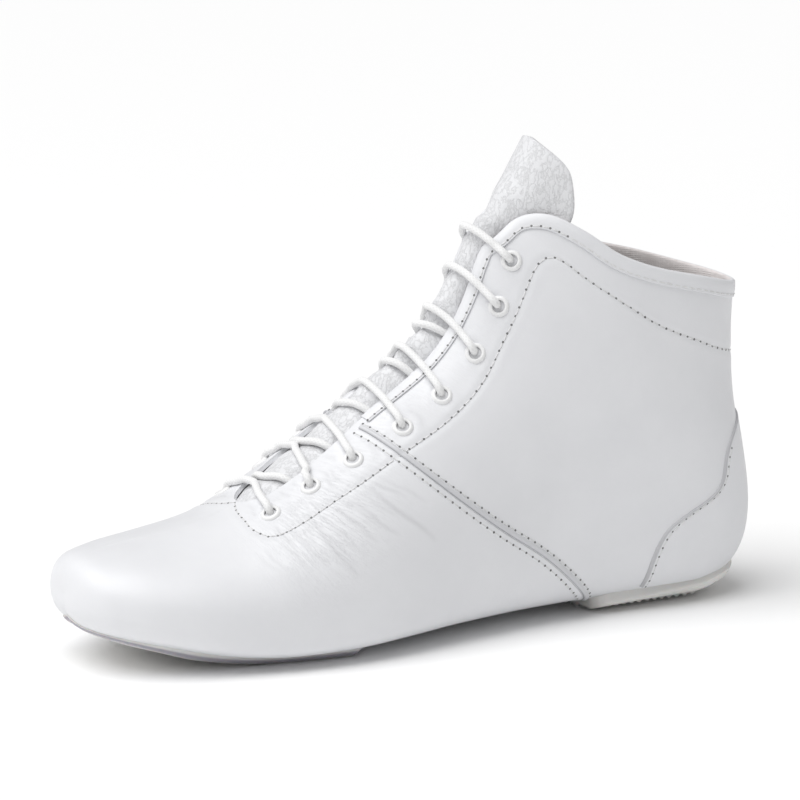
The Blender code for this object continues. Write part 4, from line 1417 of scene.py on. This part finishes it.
# An eyelet's section, from inside the shoe up the bore and back under the flange: radius and height
EYELET_PROFILE = np.array([
    (2.10, -1.7), (2.10, 0.30), (2.14, 0.68), (2.28, 0.94), (2.55, 1.06), (2.90, 1.02), (3.24, 0.86),
    (3.52, 0.58), (3.68, 0.26), (3.72, -0.05), (3.55, -0.35), (2.45, -0.40), (2.35, -0.6), (2.35, -1.7),
])
EYELET_SIDES = 36
EYELET_GUIDE = (0.2, 0.3, 0.93)


def make_eyelets(enamel):
    """Turned rings: a round flange on the leather and a barrel through it."""
    radius, height = EYELET_PROFILE.T
    # Painted shade down the inner wall of the bore.
    bore = np.where(radius < 2.2, np.interp(height, (0.2, 0.7), (0.9, 0.1)), 0.0)
    faces = grid_faces(EYELET_SIDES, len(radius), round_columns=True, round_rows=True).tolist()
    for word, number, point, normal in eyelet_frames():
        laid, _ = lay(point + unit(np.cross(normal, (1, 0, 0))) * 3.2, normal)
        point = point + normal * np.clip(np.dot(laid - point, normal), -0.3, 0.4)
        spokes = spokes_round(normal, EYELET_GUIDE, EYELET_SIDES)
        rings = point + spokes[:, None] * radius[:, None] + normal * height[:, None]
        points = rings.reshape(-1, 3)
        ring = new_object(f"eyelet_ring_{word}_{number}", points, outward(points, faces), (enamel,))
        set_values(ring, "shade", np.tile(bore, EYELET_SIDES))
        dress(ring, "white_enamel", f"eyelet_{word}_{number}")


# The lace

# Heights of the lace over the form inside the shoe, under the throat's edges, on the binding and on the
# leather, and how far beside the eyelets its hidden end runs down
LACE_UNDER = -3.1
UNDER_EDGE = -3.45
ON_BINDING = 2.05
ON_LEATHER = 1.5
BESIDE_EYELETS = 3.6

# By the number of the eyelet: how far a run lies up from the middle between two bars, how far a bar clears
# the tongue's crest, and how far it slants up on the lateral side
RUN_SHIFT = {3: 0.0045, 4: 0.004, 5: 0.0, 6: 0.003, 7: 0.003}
CREST_CLEAR = {1: 1.5, 2: 0.1, 3: 0.0, 4: -0.1, 5: -0.1, 6: 0.0, 7: 0.1, 8: 0.4}
BAR_SLANT = {6: 0.008, 7: 0.018, 8: 0.016}

# A bar is straight from each edge of the throat to the crest's flat top. At those four turns it has taken up
# these shares of its slant, and on its lateral leg it lies lower by these amounts.
CREST_HALF = 1.5
SLANT_SHARES = np.array([0.5, 0.9, 1.1, 1.0])
BAR_STEPS = np.array([0.3, 0.6, 0.85])
FAR_LEG_DROP = (0.0, 0.2, 0.5, 0.8, 0.7, 0.3, 0.0, 0.0, 0.0)


def tongue_face(along, across):
    """The height of the tongue's face over the form, without its folds."""
    along = np.asarray(along, float)
    shape = along.shape
    depth, _, rise, reach = [column.reshape(shape) for column in read_table(TONGUE, along.ravel()).T]
    crest, foot = [np.interp(along, CREST[:, 0], CREST[:, column]) for column in (1, 2)]
    edge = np.maximum(np.interp(along, *THROAT.T), 6.0)
    away = np.abs(across)
    tab = rise * (1 - np.minimum(away / reach, 1) ** 2) ** 2 - depth
    down = np.sqrt(away ** 2 + CREST_ROUND ** 2) - CREST_ROUND
    whole = np.sqrt(edge ** 2 + CREST_ROUND ** 2) - CREST_ROUND
    roof = np.maximum(crest - (crest + foot) * down / whole, -depth)
    share = np.clip((along - TAB[0]) / (TAB[1] - TAB[0]), 0, 1)
    share = share ** 2 * (3 - 2 * share)
    return roof * (1 - share) + tab * share


def bar_places(number):
    """The strand between two opposite eyelets, up out of the medial bore and down into the lateral one."""
    along, ridge = EYELETS[number - 1]
    edge = read_table(THROAT, along)[0, 0]
    rest = ON_BINDING if along > BINDING_START else ON_LEATHER
    middle = (ridge + edge) / 2 - 1.0
    leg = np.array([
        (ridge - 0.35, LACE_UNDER + 0.2), (ridge - 0.55, -1.4), (ridge - 0.72, 0.2), (ridge - 0.95, 1.5),
        (ridge - 2.4, 2.45), (ridge - 4.8, 2.3), (middle, 1.75), (edge + 3.0, rest), (edge, rest),
    ])
    crest = max(tongue_face(along, 0.0) + LACE_RADIUS + CREST_CLEAR[number], rest - 1.6)
    slant = BAR_SLANT.get(number, 0.0)
    turns = np.array([edge, CREST_HALF, -CREST_HALF, -edge])
    corners = over_ridge(along + slant * SLANT_SHARES, turns, np.array([rest, crest, crest, rest]))
    share = BAR_STEPS[:, None]
    rise = corners[0] + share * (corners[1] - corners[0])
    fall = corners[2] + (1 - share[::-1]) * (corners[3] - corners[2])
    straight = np.vstack([rise, corners[1], (corners[1] + corners[2]) / 2, corners[2], fall])
    climb = edge + (CREST_HALF - edge) * BAR_STEPS
    across = np.concatenate([climb, [CREST_HALF, 0.0, -CREST_HALF], -climb[::-1]])
    side = np.where(across >= 0, MEDIAL, LATERAL)
    where = along + slant * np.interp(-across, -turns, SLANT_SHARES)
    points, normals = form_at(where, around_at(where, np.abs(across), side), side)
    height = np.sum((straight - points) * normals, axis=1)
    over = np.stack([where, across, height], axis=1)
    near = np.stack([along + slant * np.linspace(0, 0.5, len(leg)) ** 2 * 2, leg[:, 0], leg[:, 1]], axis=1)
    far = np.stack([along + slant * np.linspace(1.0, 0, len(leg)), -leg[::-1, 0], leg[::-1, 1]], axis=1)
    far[:, 2] -= FAR_LEG_DROP
    return np.vstack([near, over, far])


def run_places(number):
    """The slanting strand from a lateral eyelet, over the tongue, to the next medial eyelet above."""
    along_1, ridge_1 = EYELETS[number - 1]
    along_0, ridge_0 = EYELETS[number]
    edge = read_table(THROAT, (along_0 + along_1) / 2)[0, 0]
    across = np.array([
        1.2 - ridge_0, -edge - 5.0, -edge - 1.0, 2.2 - edge, -3.0, 0.0,
        3.0, edge - 2.2, edge + 1.0, edge + 5.0, ridge_1 - 1.2,
    ])
    slope = (along_1 - along_0) / (ridge_0 + ridge_1)
    along = (along_0 + along_1) / 2 + RUN_SHIFT[number] + slope * np.where(across > 0, across, 0.1 * across)
    along[[0, -1]] = along_0, along_1
    over = tongue_face(along, across) + LACE_RADIUS - 0.2
    height = np.full(len(across), UNDER_EDGE)
    height[[0, -1]] = LACE_UNDER
    height[4:7] = over[4:7]
    height[[3, 7]] = np.minimum(over[[3, 7]] - 0.4, 0.0)
    return np.stack([along, across, height], axis=1)


def inside_places(first, last, sign):
    """A strand inside the shoe, straight up from one eyelet to the next on the same side."""
    share = np.array([0.2, 0.5, 0.8])
    ends = EYELETS[[first - 1, last - 1]]
    between = ends[0] + share[:, None] * (ends[1] - ends[0])
    return np.stack([between[:, 0], sign * between[:, 1], np.full(3, LACE_UNDER - 0.1)], axis=1)


def hidden_end():
    """The strand inside the shoe from the top eyelet down beside the medial eyelets to the lowest."""
    along = np.linspace(EYELETS[0, 0], EYELETS[-1, 0] + 0.02, 16)
    ridge = read_table(EYELETS[::-1], along)[:, 0]
    return np.stack([along, ridge + BESIDE_EYELETS, np.full(16, LACE_UNDER + 0.05)], axis=1)


def lace_places():
    """The whole cord: along, signed distance from the ridge, and height over the form."""
    parts = [hidden_end()]
    for number in range(len(EYELETS), 2, -1):
        parts.append(bar_places(number))
        if number > 3:
            parts.append(run_places(number - 1))
    parts += [inside_places(3, 2, -1), bar_places(2)[::-1], inside_places(2, 1, 1), bar_places(1)[:-1]]
    return np.vstack(parts)


def make_lace(cotton):
    """One cord: bars over the throat, and slanting runs over the tongue from each bar to the next."""
    path = over_ridge(*lace_places().T)
    path = smooth_along(even_line(smooth_line(path, 4200), 0.7), 2)
    points, faces, flat = tube(path, LACE_RADIUS, 14)
    lace = new_object("lace", points, faces, (cotton,), flat)
    bars = [f"lace_bar_{number}" for number in range(1, len(EYELETS) + 1)]
    runs = [f"lace_run_{number}" for number in range(3, len(EYELETS))]
    dress(lace, "white_cotton", *bars, *runs)


# The dent of the lace in the tongue: how far from the ridge and from the cord it is looked for, how far the
# cord sinks in, and how steep the dent's sides are
PRESSED_HALF = 17.0
PRESSED_REACH = 6.0
LACE_SINK = 0.05
PRESSED_SLOPE = 0.75


def under_lace(a, across, height):
    """The tongue's heights, pressed down where the lace lies on it."""
    cord = even_line(lace_places() * (AXIS, 1, 1), 0.8)
    cord = cord[np.abs(cord[:, 1]) < PRESSED_HALF]
    pressed = height.copy()
    for i in range(len(height)):
        near = cord[np.abs(cord[:, 0] - a[i, 0]) < PRESSED_REACH]
        if len(near) == 0:
            continue
        away = np.hypot(near[None, :, 0] - a[i][:, None], near[None, :, 1] - across[i][:, None])
        limit = near[None, :, 2] - LACE_RADIUS + LACE_SINK + np.maximum(0, away - 0.9) * PRESSED_SLOPE
        pressed[i] = np.minimum(pressed[i], limit.min(axis=1))
    return pressed


# The tongue's folds, where it gapes away from the throat's edge, and where its rows close up to the tip
BROAD_FOLDS = 0.30
FINE_FOLDS = 0.20
GAPE_ALONG = 0.600
GAPE_ACROSS = 11.0
GAPE_DEPTH = 2.6
CLOSE_FROM = 0.95


def make_tongue(leather):
    """The grained tongue with a round edge, folded a little between the strands of the lace."""
    tip_rows = CLOSE_FROM + (1 - CLOSE_FROM) * np.sin(np.linspace(0.05, np.pi / 2, 26))
    along = np.concatenate([np.linspace(TONGUE[0, 0], CLOSE_FROM, 260), tip_rows])
    half = read_table(TONGUE, along)[:, 1]
    tip = np.clip((1.0 - along) / 0.03, 0, 1)
    half = np.where(tip < 1, np.maximum(half, 0) * np.sqrt(1 - (1 - tip) ** 2) ** 0.5, half)
    across = np.sin(np.linspace(-1, 1, 75) * np.pi / 2)
    q = across[None, :] * half[:, None]
    place = np.broadcast_to(along[:, None], q.shape)
    a = place * AXIS
    folds = BROAD_FOLDS * np.sin(a / 3.1 + q / 6.5 + 0.8 * np.sin(a / 9)) * np.sin(a / 12.7 - q / 9)
    folds += FINE_FOLDS * np.abs(np.sin(a / 3.4 - q / 4.2)) * np.sin(a / 7.3 + q / 5)
    folds *= np.clip((0.80 - along) / 0.08, 0, 1)[:, None] * np.clip((15 - np.abs(q)) / 5, 0, 1)
    gape = GAPE_DEPTH * hump(a, GAPE_ALONG * AXIS, 8.0) * hump(q, GAPE_ACROSS, 4.5)
    face = under_lace(a, q, tongue_face(place, q) + folds - gape)
    edge = 1 - np.sqrt(np.clip(1 - np.abs(across) ** 26, 0, 1))[None, :]
    top = over_ridge(place, q, face - TONGUE_LEATHER / 2 * edge)
    bottom = over_ridge(place, q, face - TONGUE_LEATHER * (1 - edge / 2))
    points, faces = closed_strip(np.concatenate([top, bottom[:, -2:0:-1]], axis=1))
    tongue = new_object("tongue_leather_sheet", points, faces, (leather,))
    dress(tongue, "tongue_leather", "tongue")


# The soles

# The edge of each patch: distance from its outline, depth under the leather, and how grey it is, the grey
# being painted shade along the forefoot patch's edge
FOREFOOT_EDGE = np.array([
    (0.0, 0.4, 0.0), (0.0, 1.0, 0.25), (0.25, 1.5, 0.85), (0.8, 2.1, 0.9), (1.8, 2.7, 0.6), (3.0, 3.0, 0.2),
    (3.5, 2.4, 0.0),
])
HEEL_EDGE = np.array([
    (0.0, 0.4, 0.0), (0.0, 2.9, 0.0), (0.12, 3.5, 0.0), (0.45, 3.85, 0.0), (1.2, 4.0, 0.0), (2.0, 4.0, 0.0),
    (2.5, 3.4, 0.0),
])

# The tread of each patch: the border round it, where it ends in front, and the highest leather it lies under
FOREFOOT_TREAD = (3.2, -106.0, 10.0)
HEEL_TREAD = (2.6, 0.0, 5.2)
TREAD_LEAN = math.radians(50)
TREAD_REACH = 110.0
TOOTH_HALF = 0.46 * TREAD_PITCH
TOOTH_TOP = 0.30


def rings_in_plan(outline, insets, inner_rings):
    """Closed rings inside an outline: at distances from it first, then drawn in to its middle."""
    middle = (outline.min(axis=0) + outline.max(axis=0)) / 2
    spokes = outline - middle
    lengths = np.linalg.norm(spokes, axis=1)[:, None]
    rings = [middle + spokes * (1 - inset / lengths) for inset in insets]
    last = rings[-1] - middle
    for share in np.linspace(1, 0, inner_rings + 1)[1:-1]:
        rings.append(middle + last * share)
    return rings, middle


def patch(outline, insets, depths, inner_rings, top, floor, thins=False):
    """A closed sheet under or over the leather's bottom. Depths are measured out along its normal."""
    rings, middle = rings_in_plan(outline, insets, inner_rings)
    depths = list(depths) + [depths[-1]] * (len(rings) - len(depths))
    low_rings = []
    high_rings = []
    for ring, depth in zip(rings, depths):
        points, normals = on_sole(ring)
        share = np.interp(points[:, 2], RUBBER_RISE, (1.0, RUBBER_THIN)) if thins else np.ones(len(points))
        low = points + normals * (depth * share)[:, None]
        low[:, 2] = np.maximum(low[:, 2], floor + (max(depths) - depth))
        low_rings.append(low)
        high_rings.append(points + normals * top)
    count = len(outline)
    centre, centre_normal = sole_point(*middle)
    low = centre + centre_normal * depths[-1]
    low[2] = max(low[2], floor + (max(depths) - depths[-1]))
    high = centre + centre_normal * top
    all_rings = low_rings[::-1] + high_rings
    points = np.concatenate(all_rings)
    faces = grid_faces(len(all_rings), count, round_columns=True).tolist()
    low_index = len(points)
    points = np.vstack([points, low, high])
    end = (len(all_rings) - 1) * count
    for k in range(count):
        following = (k + 1) % count
        faces.append([low_index, following, k])
        faces.append([low_index + 1, end + k, end + following])
    return points, outward(points, faces), middle


def tread(outline, middle, border, front, highest, deep, shallow):
    """Flat-topped pyramids in slanting rows inside the border, on the part of the sole near the floor."""
    pile = Pile()
    spokes = outline - middle
    angles = np.arctan2(spokes[:, 1], spokes[:, 0])
    order = np.argsort(angles)
    radii = np.linalg.norm(spokes, axis=1)[order]
    angles = angles[order]
    first = np.array([math.cos(TREAD_LEAN), math.sin(TREAD_LEAN)])
    second = first * (1, -1)
    corners = [TOOTH_HALF * (p * first + q * second) for p, q in ((1, 1), (1, -1), (-1, -1), (-1, 1))]
    count = int(TREAD_REACH / TREAD_PITCH)
    for i in range(-count, count + 1):
        for j in range(-count, count + 1):
            spot = (i * first + j * second) * TREAD_PITCH
            limit = np.interp(math.atan2(spot[1], spot[0]), angles, radii, period=2 * np.pi)
            outside = np.linalg.norm(spot) > limit - border - TREAD_PITCH * 0.6
            if outside or middle[0] + spot[0] < front:
                continue
            point, normal = sole_point(*(middle + spot))
            if point[2] > highest:
                continue
            share = np.interp(point[2], RUBBER_RISE, (1.0, RUBBER_THIN))
            ring = []
            for size, depth in ((1.0, shallow), (TOOTH_TOP, deep)):
                for corner in corners:
                    slope = corner @ normal[:2] / max(-normal[2], 0.3)
                    place = point + np.array([*corner, slope]) * size + normal * depth * share
                    place[2] = max(place[2], deep - depth)
                    ring.append(place)
            points = np.array(ring)
            pile.add(points, outward(points - points.mean(axis=0), capped(2, len(corners))))
    return pile.mesh()


def make_outsole(rubber, name, node_name, outline, edge, thick, span):
    """A rubber patch with a fine diamond tread. It thins out where it curves up from the floor."""
    insets, depths, greys = edge.T
    points, faces, middle = patch(outline, insets, depths, 14, 0.05, 0.0, True)
    rings = (len(points) - 2) // (2 * len(outline))
    pile = Pile()
    pile.add(points, faces)
    pile.add(*tread(outline, middle, *span, thick, depths[-1] - 0.3))
    points, faces = pile.mesh()
    # Painted shade on the rings of the patch's edge.
    ring_greys = np.zeros(rings)
    ring_greys[:len(greys)] = greys
    shade = np.zeros(len(points))
    shade[:rings * len(outline)] = np.repeat(ring_greys[::-1], len(outline))
    piece = new_object(name, points, faces, (rubber,), sharp=0.5)
    set_values(piece, "shade", shade)
    dress(piece, "white_rubber", node_name)


def make_insole(cloth):
    low = -WALL - INSOLE_GAP
    insets = (0.0, 0.15, 0.6, 3.0)
    depths = (low - INSOLE * 0.5, low - INSOLE * 0.85, low - INSOLE, low - INSOLE)
    points, faces, _ = patch(insole_outline(), insets, depths, 16, low, -50.0)
    dress(new_object("insole_sheet", points, faces, (cloth,)), "insole_board", "insole")


# Stage

def make_floor():
    reach = 5.0
    corners = [(-reach, -reach, 0), (reach, -reach, 0), (reach, reach, 0), (-reach, reach, 0)]
    mesh = bpy.data.meshes.new("floor")
    mesh.from_pydata(corners, [], [(0, 1, 2, 3)])
    mesh.materials.append(Look("pale_floor", grey(0.97), 0.9, 0.1).material)
    floor = in_scene("floor", mesh)


def aimed(direction):
    return Vector(direction).to_track_quat("-Z", "Y").to_euler()


def area_light(name, place, aim, size, power):
    light = bpy.data.lights.new(name, "AREA")
    light.shape = "RECTANGLE"
    light.size, light.size_y = size
    light.energy = power
    obj = in_scene(name, light)
    obj.location = place
    obj.rotation_euler = aimed(Vector(aim) - Vector(place))


def make_lights():
    """A broad soft light from above, a weak fill in front, a glow on the toe, and a pale room."""
    aim = (0.0, 0.0, 0.06)
    sun = bpy.data.lights.new("overhead", "SUN")
    sun.energy = 2.3
    sun.angle = math.radians(55)
    in_scene("overhead", sun).rotation_euler = aimed((0.42, 0.05, -1.0))
    area_light("fill", (0.5, -1.8, 0.9), aim, (1.2, 0.9), 0.3)
    area_light("toe_glow", (-1.3, 0.1, 0.9), aim, (0.9, 0.7), 2.4)
    world = bpy.data.worlds.new("room")
    world.use_nodes = True
    background = world.node_tree.nodes["Background"]
    background.inputs["Color"].default_value = (1.0, 1.0, 1.0, 1.0)
    background.inputs["Strength"].default_value = 0.35
    scene = bpy.context.scene
    scene.world = world
    scene.view_settings.view_transform = "Standard"
    scene.view_settings.look = "None"
    scene.view_settings.exposure = 0.0


def make_camera():
    back = Vector((
        -math.sin(YAW) * math.cos(ELEVATION),
        -math.cos(YAW) * math.cos(ELEVATION),
        math.sin(ELEVATION),
    ))
    data = bpy.data.cameras.new("camera")
    data.sensor_width = SENSOR
    data.lens = PIXELS_PER_MM * DISTANCE / MM * SENSOR / PHOTO_SIZE
    data.shift_x = (PHOTO_SIZE / 2 - TARGET_PIXEL[0]) / PHOTO_SIZE
    data.shift_y = (TARGET_PIXEL[1] - PHOTO_SIZE / 2) / PHOTO_SIZE
    data.clip_end = 50.0
    camera = in_scene("camera", data)
    camera.location = TARGET + back * DISTANCE
    camera.rotation_euler = aimed(-back)
    bpy.context.scene.camera = camera


smooth_leather = make_leather()
trim_leather = make_trim_leather()
lining_cloth = make_cloth("grey_lining", (0.44, 0.435, 0.43), (0.54, 0.535, 0.53))
insole_cloth = make_cloth("insole_board_cloth", (0.44, 0.43, 0.41), (0.56, 0.55, 0.53))
THREADS = Pile()
HOLES = Pile()
TREE = make_upper(smooth_leather, lining_cloth)
make_facing_stitches()
make_back_seam()
make_seams(trim_leather)
make_arch_seam(trim_leather)
make_binding(trim_leather, make_cloth("rim_nap", (0.72, 0.67, 0.66), (0.84, 0.80, 0.79)))
make_counter(trim_leather)
make_eyelets(make_enamel())
make_lace(make_cotton())
make_tongue(make_pebbled_leather())
white_rubber = make_rubber()
make_outsole(
    white_rubber, "forefoot_rubber", "forefoot_outsole", forefoot_outline(), FOREFOOT_EDGE, FOREFOOT_PATCH,
    FOREFOOT_TREAD,
)
make_outsole(white_rubber, "heel_rubber", "heel_outsole", heel_outline(), HEEL_EDGE, HEEL_PATCH, HEEL_TREAD)
make_insole(insole_cloth)
for name, pile, material in (
    ("stitches", THREADS, make_thread()),
    ("needle_holes", HOLES, make_needle_hole_shade()),
):
    dress(new_object(name, *pile.mesh(), (material,)), "white_leather")
make_floor()
make_lights()
make_camera()
